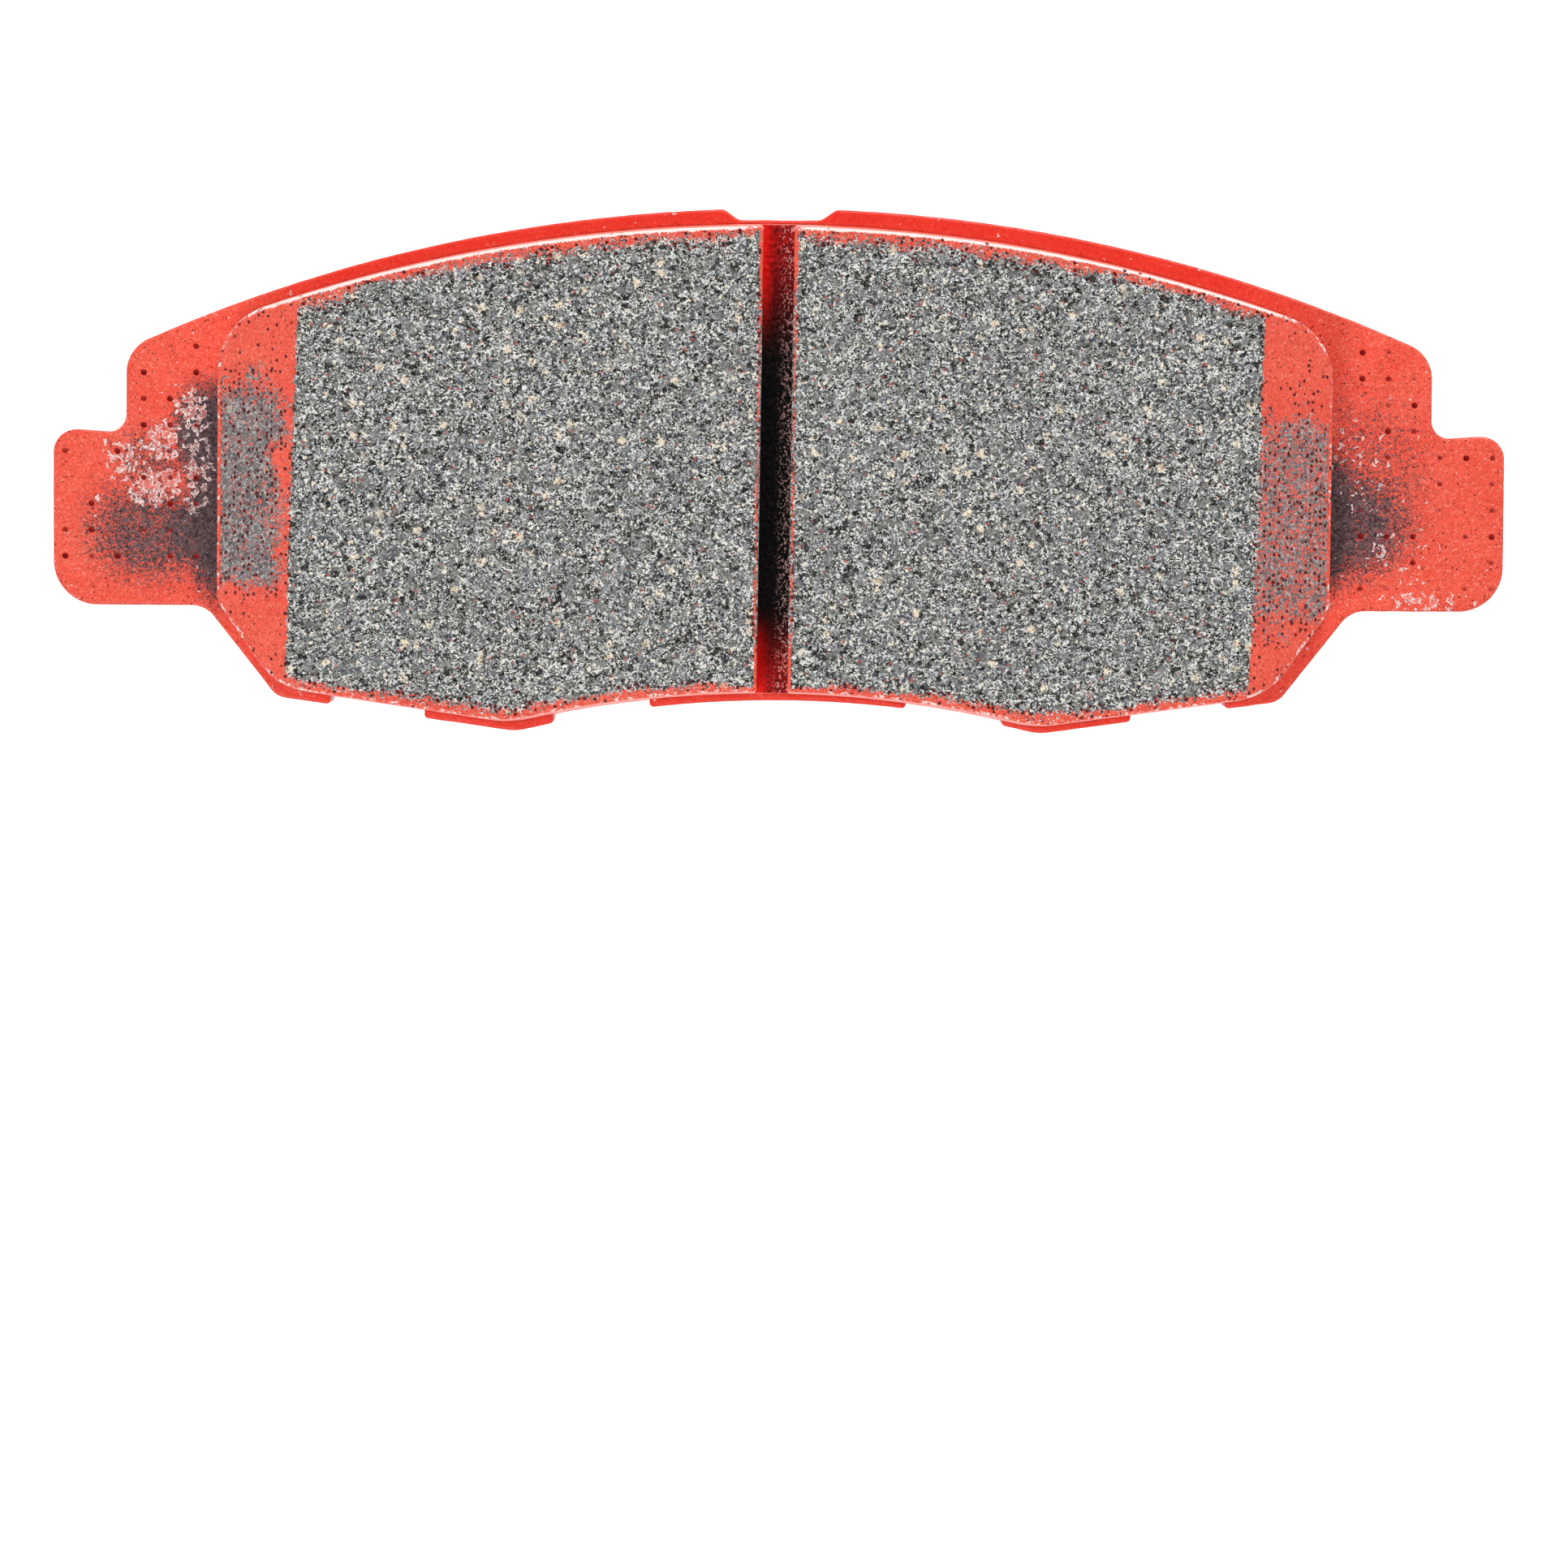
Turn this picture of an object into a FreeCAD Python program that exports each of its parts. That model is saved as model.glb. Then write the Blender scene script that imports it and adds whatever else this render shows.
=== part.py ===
import FreeCAD, Part
import Sketcher
import math
import os

# Disc brake pad. Millimetres and degrees. X runs along the pad, Y towards its arched outer edge and
# Z out of the friction face. The origin is on the back of the plate, at the middle of its box.
SIZES = {
    # The disc's axis lies below the pad; the arched edges are circles about it.
    "disc_drop": 134.4,
    "outer_edge_radius": 161.5,
    "inner_edge_radius": 110.7,
    # Heights above the back of the plate.
    "plate_face_z": 5.5,
    "film_top_z": 5.65,
    "underlayer_top_z": 7.65,
    "pad_face_z": 16.5,
    # Backing plate outline, right half.
    "locator_floor_half": 4.2,
    "locator_mouth_half": 5.75,
    "locator_floor_y": 25.9,
    "shoulder_x": 67.45,
    "ear_top_y": 3.65,
    "ear_tip_x": 75.0,
    "ear_tip_y": 4.2,
    "ear_bottom_y": -14.15,
    "ear_root_x": 59.3,
    "end_corner_x": 51.9,
    "lobe_x": 27.0,
    "tab_edge_slope": 0.139,
    "clip_notch_depth": 1.0,
    "outer_clip_far_x": 46.3,
    "outer_clip_near_x": 36.6,
    "inner_clip_far_x": 23.2,
    "inner_clip_near_x": 13.3,
    # Backing plate corner radii.
    "shoulder_radius": 3.8,
    "ear_root_top_radius": 1.8,
    "ear_tip_radius": 2.4,
    "ear_heel_radius": 4.6,
    "ear_root_radius": 3.0,
    "end_corner_radius": 2.5,
    "lobe_radius": 6.0,
    "locator_radius": 1.2,
    "clip_mouth_radius": 0.45,
    "clip_floor_radius": 0.3,
    "press_edge_radius": 0.3,
    # Punched pits on the bare ends of the plate.
    "pit_first_x": 60.2,
    "pit_first_y": -11.8,
    "pit_pitch": 2.71,
    "pit_radius": 0.35,
    "pit_depth": 0.5,
    # Moulding: bonding film, underlayer and friction blocks share one footprint, which sits a
    # little off the plate's middle and turned slightly clockwise.
    "moulding_shift_x": -0.45,
    "moulding_shift_y": -0.45,
    "moulding_lean": 0.25,
    "moulding_inset": 1.15,
    "moulding_end_x": 57.4,
    "moulding_end_low_y": -13.4,
    "moulding_corner_x": 50.8,
    "moulding_corner_y": -22.45,
    "moulding_lobe_x": 27.0,
    "moulding_draft": -3.5,
    "moulding_top_radius": 7.0,
    "moulding_end_radius": 3.0,
    "moulding_corner_radius": 7.0,
    "moulding_lobe_radius": 12.0,
    # Machining of the friction face: a sawn slot and a long ground slope at each end.
    "machining_shift": -0.35,
    "slot_half_width": 1.55,
    "slot_lean": 0.6,
    "chamfer_face_x": 48.95,
    "chamfer_end_x": 60.0,
    "chamfer_drop": 7.6,
    "chamfer_lean": 2.0,
}
# Blocks of the pit grid: how many columns, and the first and last row.
PIT_BLOCKS = ((6, 0, 5), (3, 6, 8), (2, 9, 9))
SAME_PLACE = 0.01
# Axes of a clockwise turn, seen from above, of a sketch on the XY plane and on the XZ plane.
CLOCKWISE = FreeCAD.Vector(0, 0, -1)
CLOCKWISE_ON_XZ = FreeCAD.Vector(0, -1, 0)


class Size:
    """A number together with the sheet expression that gives it."""

    def __init__(self, value, text):
        self.value = value
        self.text = text

    def __add__(self, other):
        return Size(self.value + other.value, f"({self.text} + {other.text})")

    def __sub__(self, other):
        return Size(self.value - other.value, f"({self.text} - {other.text})")

    def __mul__(self, other):
        return Size(self.value * other.value, f"({self.text} * {other.text})")

    def __neg__(self):
        return Size(-self.value, f"(-{self.text})")

    def times(self, count):
        return Size(self.value * count, f"({self.text} * ({count}))")

    def root(self):
        return Size(math.sqrt(self.value), f"sqrt({self.text})")


def make_sheet(doc):
    """Fills the spreadsheet of driving dimensions and returns them by alias."""
    sheet = doc.addObject("Spreadsheet::Sheet", "Sizes")
    for row, (alias, value) in enumerate(SIZES.items(), 1):
        sheet.set(f"A{row}", alias)
        sheet.set(f"B{row}", str(value))
        sheet.setAlias(f"B{row}", alias)
    doc.recompute()
    return {alias: Size(value, f"Sizes.{alias}") for alias, value in SIZES.items()}


def height_on_circle(size, radius, x):
    """Y of a point at x on a circle of this radius about the disc's axis."""
    return (radius * radius - x * x).root() - size["disc_drop"]


def new_body(doc, label):
    """An empty body with the sub-part's own label."""
    body = doc.addObject("PartDesign::Body", label)
    body.Label = label
    body.Placement = FreeCAD.Placement()
    return body


def new_sketch(body, name, role, lift=None, turn=None, shift=None):
    """A sketch on one of the body's origin planes, raised, turned or shifted on that plane if asked."""
    sketch = body.newObject("Sketcher::SketchObject", name)
    plane = next(feature for feature in body.Origin.OriginFeatures if feature.Role == role)
    sketch.AttachmentSupport = [(plane, "")]
    sketch.MapMode = "FlatFace"
    if lift is not None:
        sketch.setExpression("AttachmentOffset.Base.z", lift.text)
    if turn is not None:
        axis, angle = turn
        sketch.AttachmentOffset = FreeCAD.Placement(FreeCAD.Vector(), FreeCAD.Rotation(axis, angle.value))
        sketch.setExpression("AttachmentOffset.Rotation.Angle", angle.text)
    if shift is not None:
        sketch.setExpression("AttachmentOffset.Base.x", shift[0].text)
        sketch.setExpression("AttachmentOffset.Base.y", shift[1].text)
    return sketch


def bind(sketch, constraint, size):
    """Adds a constraint whose value comes from the sheet."""
    number = sketch.addConstraint(constraint)
    sketch.setExpression(f"Constraints[{number}]", size.text)


def pin_point(sketch, edge, end, x, y):
    """Holds one point of a sketch edge at sheet coordinates."""
    bind(sketch, Sketcher.Constraint("DistanceX", -1, 1, edge, end, x.value), x)
    bind(sketch, Sketcher.Constraint("DistanceY", -1, 1, edge, end, y.value), y)


def add_arc(sketch, start, stop, radius, centre):
    """Adds an arc between two points and returns it with the ends that lie at start and stop."""
    angles = [math.atan2(point.y - centre.y, point.x - centre.x) for point in (start, stop)]
    circle = Part.Circle(centre, FreeCAD.Vector(0, 0, 1), radius.value)
    edge = sketch.addGeometry(Part.ArcOfCircle(circle, min(angles), max(angles)))
    bind(sketch, Sketcher.Constraint("Radius", edge, radius.value), radius)
    return (edge, 1, 2) if angles[0] < angles[1] else (edge, 2, 1)


def draw_outline(sketch, corners, radii, centre):
    """Joins the corners into one loop; the edge after a corner with a radius is an arc about centre."""
    points = [FreeCAD.Vector(x.value, y.value, 0) for x, y in corners]
    edges = []
    for start, stop, radius in zip(points, points[1:] + points[:1], radii):
        if radius is None:
            edges.append((sketch.addGeometry(Part.LineSegment(start, stop)), 1, 2))
        else:
            edges.append(add_arc(sketch, start, stop, radius, centre))
    for before, (edge, first, _), (x, y) in zip(edges[-1:] + edges[:-1], edges, corners):
        sketch.addConstraint(Sketcher.Constraint("Coincident", before[0], before[2], edge, first))
        pin_point(sketch, edge, first, x, y)


def draw_straight(sketch, corners):
    """Draws a closed outline with straight sides only."""
    draw_outline(sketch, corners, [None] * len(corners), None)


def mirrored_outline(right, right_radii, bottom_radius, top_radius):
    """The right half's corners from top to bottom, then their mirror images back up."""
    corners = right + [(-x, y) for x, y in reversed(right)]
    radii = right_radii + [bottom_radius] + right_radii[::-1] + [top_radius]
    return corners, radii


def add_pad(body, name, sketch, height):
    """A pad upwards from the sketch."""
    pad = body.newObject("PartDesign::Pad", name)
    pad.Profile = sketch
    pad.setExpression("Length", height.text)
    return pad


def add_pocket(body, name, sketch, side, depth=None, upwards=False):
    """A pocket, right through or to a depth; it must remove material."""
    before = body.Tip.Shape.Volume
    pocket = body.newObject("PartDesign::Pocket", name)
    pocket.Profile = sketch
    pocket.SideType = side
    pocket.Reversed = upwards
    if depth is None:
        pocket.Type = "ThroughAll"
    else:
        pocket.setExpression("Length", depth.text)
    body.Document.recompute()
    if pocket.Shape.Volume > before - SAME_PLACE:
        raise RuntimeError(f"{body.Name}.{name} removes nothing")
    return pocket


def rising_edges(shape, feet):
    """Names of the edges that rise from these points."""
    names = []
    for number, edge in enumerate(shape.Edges, 1):
        ends = sorted((vertex.Point for vertex in edge.Vertexes), key=lambda point: point.z)
        foot, head = ends[0], ends[-1]
        if head.z - foot.z > SAME_PLACE and any(foot.isEqual(point, SAME_PLACE) for point in feet):
            names.append(f"Edge{number}")
    return names


def round_corners(body, name, sketch, corners, radius):
    """Rounds the rising edges at these right-hand corners of a sketch and at their mirror images."""
    body.Document.recompute()
    base = body.Tip
    both_sides = [FreeCAD.Vector(side * x.value, y.value, 0) for x, y in corners for side in (1, -1)]
    names = rising_edges(base.Shape, [sketch.Placement.multVec(corner) for corner in both_sides])
    if len(names) != len(both_sides):
        raise RuntimeError(f"{body.Name}.{name} found {len(names)} of {len(both_sides)} edges")
    fillet = body.newObject("PartDesign::Fillet", name)
    fillet.Base = (base, names)
    fillet.setExpression("Radius", radius.text)
    body.Document.recompute()
    return fillet


def plate_corners(size):
    """Named corners of the right half of the backing plate's outline."""

    def on_tab_edge(x):
        lobe_y = height_on_circle(size, size["inner_edge_radius"], size["lobe_x"])
        return lobe_y + (x - size["lobe_x"]) * size["tab_edge_slope"]

    outer = size["outer_edge_radius"]
    inner = size["inner_edge_radius"]
    notch = inner + size["clip_notch_depth"]
    corners = {
        "locator_floor": (size["locator_floor_half"], size["locator_floor_y"]),
        "locator_mouth": (size["locator_mouth_half"], height_on_circle(size, outer, size["locator_mouth_half"])),
        "shoulder": (size["shoulder_x"], height_on_circle(size, outer, size["shoulder_x"])),
        "ear_root_top": (size["shoulder_x"], size["ear_top_y"]),
        "ear_tip": (size["ear_tip_x"], size["ear_tip_y"]),
        "ear_heel": (size["ear_tip_x"], size["ear_bottom_y"]),
        "ear_root": (size["ear_root_x"], size["ear_bottom_y"]),
        "end_corner": (size["end_corner_x"], on_tab_edge(size["end_corner_x"])),
    }
    for name in ("outer_clip_far", "outer_clip_near"):
        x = size[f"{name}_x"]
        corners[f"{name}_mouth"] = (x, on_tab_edge(x))
        corners[f"{name}_floor"] = (x, on_tab_edge(x) + size["clip_notch_depth"])
    corners["lobe"] = (size["lobe_x"], on_tab_edge(size["lobe_x"]))
    for name in ("inner_clip_far", "inner_clip_near"):
        x = size[f"{name}_x"]
        corners[f"{name}_mouth"] = (x, height_on_circle(size, inner, x))
        corners[f"{name}_floor"] = (x, height_on_circle(size, notch, x))
    return corners


def draw_plate_outline(size, sketch, corners):
    """The plate's outline, clockwise from the locating notch in the arched edge."""
    inner = size["inner_edge_radius"]
    steps = [
        ("locator_floor", None),
        ("locator_mouth", size["outer_edge_radius"]),
        ("shoulder", None),
        ("ear_root_top", None),
        ("ear_tip", None),
        ("ear_heel", None),
        ("ear_root", None),
        ("end_corner", None),
        ("outer_clip_far_mouth", None),
        ("outer_clip_far_floor", None),
        ("outer_clip_near_floor", None),
        ("outer_clip_near_mouth", None),
        ("lobe", inner),
        ("inner_clip_far_mouth", None),
        ("inner_clip_far_floor", inner + size["clip_notch_depth"]),
        ("inner_clip_near_floor", None),
        ("inner_clip_near_mouth", None),
    ]
    right = [corners[name] for name, _ in steps]
    right_radii = [radius for _, radius in steps[:-1]]
    outline = mirrored_outline(right, right_radii, inner, None)
    draw_outline(sketch, *outline, FreeCAD.Vector(0, -size["disc_drop"].value, 0))


def pit_places(size):
    """Centres of the punched pits: blocks of the grid on the right end, each with its mirror image."""
    for columns, first_row, last_row in PIT_BLOCKS:
        for row in range(first_row, last_row + 1):
            y = size["pit_first_y"] + size["pit_pitch"].times(row)
            for column in range(columns):
                x = size["pit_first_x"] + size["pit_pitch"].times(column)
                yield x, y
                yield -x, y


def draw_pits(size, sketch):
    """One circle for each pit; the first sets the radius of them all."""
    first = None
    for x, y in pit_places(size):
        centre = FreeCAD.Vector(x.value, y.value, 0)
        circle = sketch.addGeometry(Part.Circle(centre, FreeCAD.Vector(0, 0, 1), size["pit_radius"].value))
        pin_point(sketch, circle, 3, x, y)
        if first is None:
            first = circle
            bind(sketch, Sketcher.Constraint("Radius", circle, size["pit_radius"].value), size["pit_radius"])
        else:
            sketch.addConstraint(Sketcher.Constraint("Equal", first, circle))


def round_press_edge(size, body):
    """Rounds the whole rim of the plate's front face, where the press tool rolled it over."""
    base = body.Tip
    front = size["plate_face_z"].value
    rim = [
        f"Edge{number}"
        for number, edge in enumerate(base.Shape.Edges, 1)
        if min(vertex.Z for vertex in edge.Vertexes) > front - SAME_PLACE
    ]
    fillet = body.newObject("PartDesign::Fillet", "press_edge")
    fillet.Base = (base, rim)
    fillet.setExpression("Radius", size["press_edge_radius"].text)
    body.Document.recompute()


def backing_plate(doc, size):
    """The stamped steel plate: outline, rounded corners, rolled front rim and punched pits."""
    body = new_body(doc, "backing_plate")
    corners = plate_corners(size)
    outline = new_sketch(body, "plate_outline", "XY_Plane")
    draw_plate_outline(size, outline, corners)
    add_pad(body, "plate", outline, size["plate_face_z"])
    clip_mouths = [name for name in corners if "clip" in name and "mouth" in name]
    clip_floors = [name for name in corners if "clip" in name and "floor" in name]
    rounds = {
        "shoulder_radius": ["shoulder"],
        "ear_root_top_radius": ["ear_root_top"],
        "ear_tip_radius": ["ear_tip"],
        "ear_heel_radius": ["ear_heel"],
        "ear_root_radius": ["ear_root"],
        "end_corner_radius": ["end_corner"],
        "lobe_radius": ["lobe"],
        "locator_radius": ["locator_floor", "locator_mouth"],
        "clip_mouth_radius": clip_mouths,
        "clip_floor_radius": clip_floors,
    }
    for radius, names in rounds.items():
        places = [corners[name] for name in names]
        round_corners(body, f"{radius}_rounds", outline, places, size[radius])
    round_press_edge(size, body)
    pits = new_sketch(body, "pit_grid", "XY_Plane", lift=size["plate_face_z"])
    draw_pits(size, pits)
    add_pocket(body, "pits", pits, "One side", size["pit_depth"])
    return body


def whole_moulding(size, body):
    """The drafted block with rounded corners that every layer of the moulding is a slice of."""
    outer = size["outer_edge_radius"] - size["moulding_inset"]
    inner = size["inner_edge_radius"] + size["moulding_inset"]
    end = (size["moulding_end_x"], height_on_circle(size, outer, size["moulding_end_x"]))
    end_low = (size["moulding_end_x"], size["moulding_end_low_y"])
    corner = (size["moulding_corner_x"], size["moulding_corner_y"])
    lobe = (size["moulding_lobe_x"], height_on_circle(size, inner, size["moulding_lobe_x"]))
    turn = (CLOCKWISE, size["moulding_lean"])
    shift = (size["moulding_shift_x"], size["moulding_shift_y"])
    sketch = new_sketch(body, "footprint", "XY_Plane", size["plate_face_z"], turn, shift)
    straight_sides = [None, None, None]
    outline = mirrored_outline([end, end_low, corner, lobe], straight_sides, inner, outer)
    draw_outline(sketch, *outline, FreeCAD.Vector(0, -size["disc_drop"].value, 0))
    pad = add_pad(body, "block", sketch, size["pad_face_z"] - size["plate_face_z"])
    pad.setExpression("TaperAngle", size["moulding_draft"].text)
    round_corners(body, "top_rounds", sketch, [end], size["moulding_top_radius"])
    round_corners(body, "end_rounds", sketch, [end_low], size["moulding_end_radius"])
    round_corners(body, "corner_rounds", sketch, [corner], size["moulding_corner_radius"])
    round_corners(body, "lobe_rounds", sketch, [lobe], size["moulding_lobe_radius"])


def cut_level(size, body, name, level, upwards):
    """Removes everything above or below one height."""
    reach = size["ear_tip_x"]
    square = [(reach, reach), (reach, -reach), (-reach, -reach), (-reach, reach)]
    sketch = new_sketch(body, f"{name}_sketch", "XY_Plane", lift=level)
    draw_straight(sketch, square)
    add_pocket(body, name, sketch, "One side", upwards=upwards)


def layer(doc, size, label, bottom, top):
    """A thin layer of the moulding between two named heights."""
    body = new_body(doc, label)
    whole_moulding(size, body)
    cut_level(size, body, "layers_above", size[top], upwards=True)
    if bottom != "plate_face_z":
        cut_level(size, body, "layers_below", size[bottom], upwards=False)
    return body


def cut_at_slot(size, body, side):
    """Removes the slot and everything beyond it on the other side."""
    reach = size["ear_tip_x"]
    near = size["machining_shift"] + (size["slot_half_width"] if side > 0 else -size["slot_half_width"])
    far = -reach if side > 0 else reach
    turn = (CLOCKWISE, size["slot_lean"])
    sketch = new_sketch(body, "slot_side", "XY_Plane", turn=turn)
    draw_straight(sketch, [(near, reach), (near, -reach), (far, -reach), (far, reach)])
    add_pocket(body, "slot", sketch, "Symmetric")


def cut_chamfer(size, body, side):
    """Grinds the long slope at the block's outer end."""
    face_x = size["chamfer_face_x"]
    end_x = size["chamfer_end_x"]
    if side < 0:
        face_x, end_x = -face_x, -end_x
    face_x = face_x + size["machining_shift"]
    top = size["pad_face_z"]
    high = top + size["chamfer_drop"]
    turn = (CLOCKWISE_ON_XZ, size["chamfer_lean"])
    sketch = new_sketch(body, "end_slope", "XZ_Plane", turn=turn)
    draw_straight(sketch, [(face_x, top), (end_x, top - size["chamfer_drop"]), (end_x, high)])
    add_pocket(body, "end_chamfer", sketch, "Symmetric")


def friction_block(doc, size, label, side):
    """One land of friction material, from the slot to its sloped end."""
    body = new_body(doc, label)
    whole_moulding(size, body)
    cut_level(size, body, "layers_below", size["underlayer_top_z"], upwards=False)
    cut_at_slot(size, body, side)
    cut_chamfer(size, body, side)
    return body


def check_document(doc, parts):
    """Stops if any object failed or any sub-part's solid is missing or broken."""
    for item in doc.Objects:
        if {"Invalid", "Error"} & set(item.State):
            raise RuntimeError(f"{item.Name} failed: {item.State}")
    for part in parts:
        if part.Shape.isNull() or not part.Shape.isValid() or len(part.Shape.Solids) != 1:
            raise RuntimeError(f"{part.Label} has no single valid solid")


def main():
    doc = FreeCAD.newDocument("BrakePad")
    size = make_sheet(doc)
    parts = [
        backing_plate(doc, size),
        layer(doc, size, "bonding_film", "plate_face_z", "film_top_z"),
        layer(doc, size, "underlayer", "film_top_z", "underlayer_top_z"),
        friction_block(doc, size, "friction_block_left", -1),
        friction_block(doc, size, "friction_block_right", 1),
    ]
    doc.recompute()
    check_document(doc, parts)
    os.makedirs("parts", exist_ok=True)
    for part in parts:
        part.Shape.exportStep(f"parts/{part.Label}.step")
        box = part.Shape.optimalBoundingBox()
        print(f"{part.Label}: volume {part.Shape.Volume:.1f}, x {box.XMin:.2f} to {box.XMax:.2f}, "
              f"y {box.YMin:.2f} to {box.YMax:.2f}, z {box.ZMin:.2f} to {box.ZMax:.2f}")


main()
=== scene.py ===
import math

import bpy
import numpy as np
from mathutils import Matrix, Vector, geometry, kdtree, noise


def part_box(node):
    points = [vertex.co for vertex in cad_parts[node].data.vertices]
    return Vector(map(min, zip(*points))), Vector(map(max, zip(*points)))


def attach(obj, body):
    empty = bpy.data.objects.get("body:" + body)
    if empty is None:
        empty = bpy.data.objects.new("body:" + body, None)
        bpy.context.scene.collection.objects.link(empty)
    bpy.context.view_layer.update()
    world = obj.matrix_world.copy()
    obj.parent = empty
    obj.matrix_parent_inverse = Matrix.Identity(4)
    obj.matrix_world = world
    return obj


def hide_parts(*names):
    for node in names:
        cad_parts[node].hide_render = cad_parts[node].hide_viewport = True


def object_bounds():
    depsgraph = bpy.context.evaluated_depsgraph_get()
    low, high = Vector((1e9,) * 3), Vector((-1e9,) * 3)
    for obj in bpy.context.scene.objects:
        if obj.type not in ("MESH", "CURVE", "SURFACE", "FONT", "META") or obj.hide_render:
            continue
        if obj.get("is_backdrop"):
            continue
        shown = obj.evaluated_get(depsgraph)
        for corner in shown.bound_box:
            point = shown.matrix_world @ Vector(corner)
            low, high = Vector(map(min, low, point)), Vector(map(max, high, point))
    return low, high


# Looks of a disc brake pad: a powder-coated steel plate with friction material moulded on it.
# Shapes are worked out in millimetres and degrees in the CAD frame, and become metres as meshes.
MM = 0.001
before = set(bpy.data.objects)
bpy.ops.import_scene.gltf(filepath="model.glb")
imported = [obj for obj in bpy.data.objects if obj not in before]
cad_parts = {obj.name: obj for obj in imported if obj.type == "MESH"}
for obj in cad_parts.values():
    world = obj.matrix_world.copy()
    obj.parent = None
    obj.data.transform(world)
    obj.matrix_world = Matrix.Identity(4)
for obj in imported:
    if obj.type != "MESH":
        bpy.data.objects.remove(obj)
cad_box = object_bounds()


def layer_top(node):
    """Height of the top of a CAD node."""
    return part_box(node)[1].z / MM


PLATE_FACE = layer_top("backing_plate")
FILM_TOP = layer_top("bonding_film")
UNDERLAYER_TOP = layer_top("underlayer")
PAD_FACE = layer_top("friction_block_left")

# The disc's axis lies below the pad; the arched edges are circles about it.
DISC_AXIS = np.array([0.0, -134.4])
OUTER_EDGE_RADIUS = 161.5
INNER_EDGE_RADIUS = 110.7

# Backing plate outline, right half.
LOCATOR_FLOOR = (4.2, 25.9)
LOCATOR_MOUTH_X = 5.75
SHOULDER_X = 67.45
EAR_TOP_Y = 3.65
EAR_TIP = (75.0, 4.2)
EAR_BOTTOM_Y = -14.15
EAR_ROOT_X = 59.3
END_CORNER_X = 51.9
LOBE_X = 27.0
TAB_EDGE_SLOPE = 0.139
CLIP_NOTCH_DEPTH = 1.0
OUTER_CLIP_X = (46.3, 36.6)
INNER_CLIP_X = (23.2, 13.3)

# Backing plate corner radii.
LOCATOR_RADIUS = 1.2
SHOULDER_RADIUS = 3.8
EAR_ROOT_TOP_RADIUS = 1.8
EAR_TIP_RADIUS = 2.4
EAR_HEEL_RADIUS = 4.6
EAR_ROOT_RADIUS = 3.0
END_CORNER_RADIUS = 2.5
LOBE_RADIUS = 6.0
CLIP_MOUTH_RADIUS = 0.45
CLIP_FLOOR_RADIUS = 0.3
PRESS_EDGE_RADIUS = 0.3
SHEARED_EDGE_BREAK = 0.08

# Punched pits: blocks of a grid as (columns, first row, last row), mirrored to the other end.
PIT_BLOCKS = ((6, 0, 5), (3, 6, 8), (2, 9, 9))
PIT_FIRST = (60.2, -11.8)
PIT_PITCH = 2.71
PIT_RADIUS = 0.35
PIT_DEPTH = 0.5
# Rings of mesh points round each pit: radius in pit radii, and how many points.
PIT_RINGS = ((1.7, 12), (1.25, 12), (1.0, 12), (0.65, 8), (0.3, 5))
# How far the other mesh points keep from the rings, in pit radii, and the rings from the plate's rim.
PIT_RING_MARGIN = 0.3
PIT_RIM_MARGIN = 0.1
# The raised burr round each pit: its middle and width in pit radii, and its height.
PIT_BURR = (1.25, 0.25, 0.04)
# The coat fills the pits unevenly: least and most share of the depth that it leaves open.
PIT_CLEAR = (0.35, 0.9)
# Pits are darkest up to the first of these distances in pit radii, and the shade ends at the second.
PIT_SHADE_REACH = (0.2, 1.3)

# Moulding: bonding film, underlayer and friction blocks share one drafted footprint.
MOULDING_SHIFT = np.array([-0.45, -0.45])
MOULDING_LEAN = 0.25
MOULDING_INSET = 1.15
MOULDING_END_X = 57.4
MOULDING_END_LOW_Y = -13.4
MOULDING_CORNER = (50.8, -22.45)
MOULDING_DRAFT = 3.5
MOULDING_TOP_RADIUS = 7.0
MOULDING_END_RADIUS = 3.0
MOULDING_CORNER_RADIUS = 7.0
MOULDING_LOBE_RADIUS = 12.0

# Machining of the friction face: a sawn slot and a ground slope at each end.
MACHINING_SHIFT = -0.35
SLOT_HALF_WIDTH = 1.55
SLOT_LEAN = 0.6
CHAMFER_FACE_X = 48.95
CHAMFER_END_X = 60.0
CHAMFER_DROP = 7.6
CHAMFER_LEAN = 2.0
SAWN_CORNER_RADIUS = 0.45
FACE_EDGE_RADIUS = 0.22
CREST_BLEND = 0.25

# Mesh spacing along the outlines, over what shows closely, and over what is flat or hidden.
WALL_SPACING = 0.35
FINE_STEP = 0.26
COARSE_STEP = 2.0


def unit(vector):
    return vector / np.linalg.norm(vector)


def turned(vector, clockwise):
    """A plan vector turned clockwise, seen from above."""
    angle = math.radians(clockwise)
    cos, sin = math.cos(angle), math.sin(angle)
    x, y = vector
    return np.array([x * cos + y * sin, y * cos - x * sin])


def ramp(value, low, high):
    """Smooth step from 0 at low to 1 at high."""
    t = np.clip((value - low) / (high - low), 0, 1)
    return t * t * (3 - 2 * t)


class Line:
    """A straight outline edge. Outlines run clockwise, with the object on the right."""

    def __init__(self, start, heading):
        self.start = np.asarray(start, float)
        self.heading = unit(np.asarray(heading, float))
        self.inward = np.array([self.heading[1], -self.heading[0]])

    def moved(self, inset):
        return Line(self.start + self.inward * inset, self.heading)

    def heading_at(self, point):
        return self.heading

    def foot(self, point):
        return self.start + self.heading * np.dot(point - self.start, self.heading)

    def length(self, start, stop):
        return np.linalg.norm(stop - start)

    def spread(self, start, stop, count):
        """Points from start up to, but without, stop, and the inward direction at each."""
        steps = np.arange(count)[:, None] / count
        return start + (stop - start) * steps, np.tile(self.inward, (count, 1))


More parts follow.
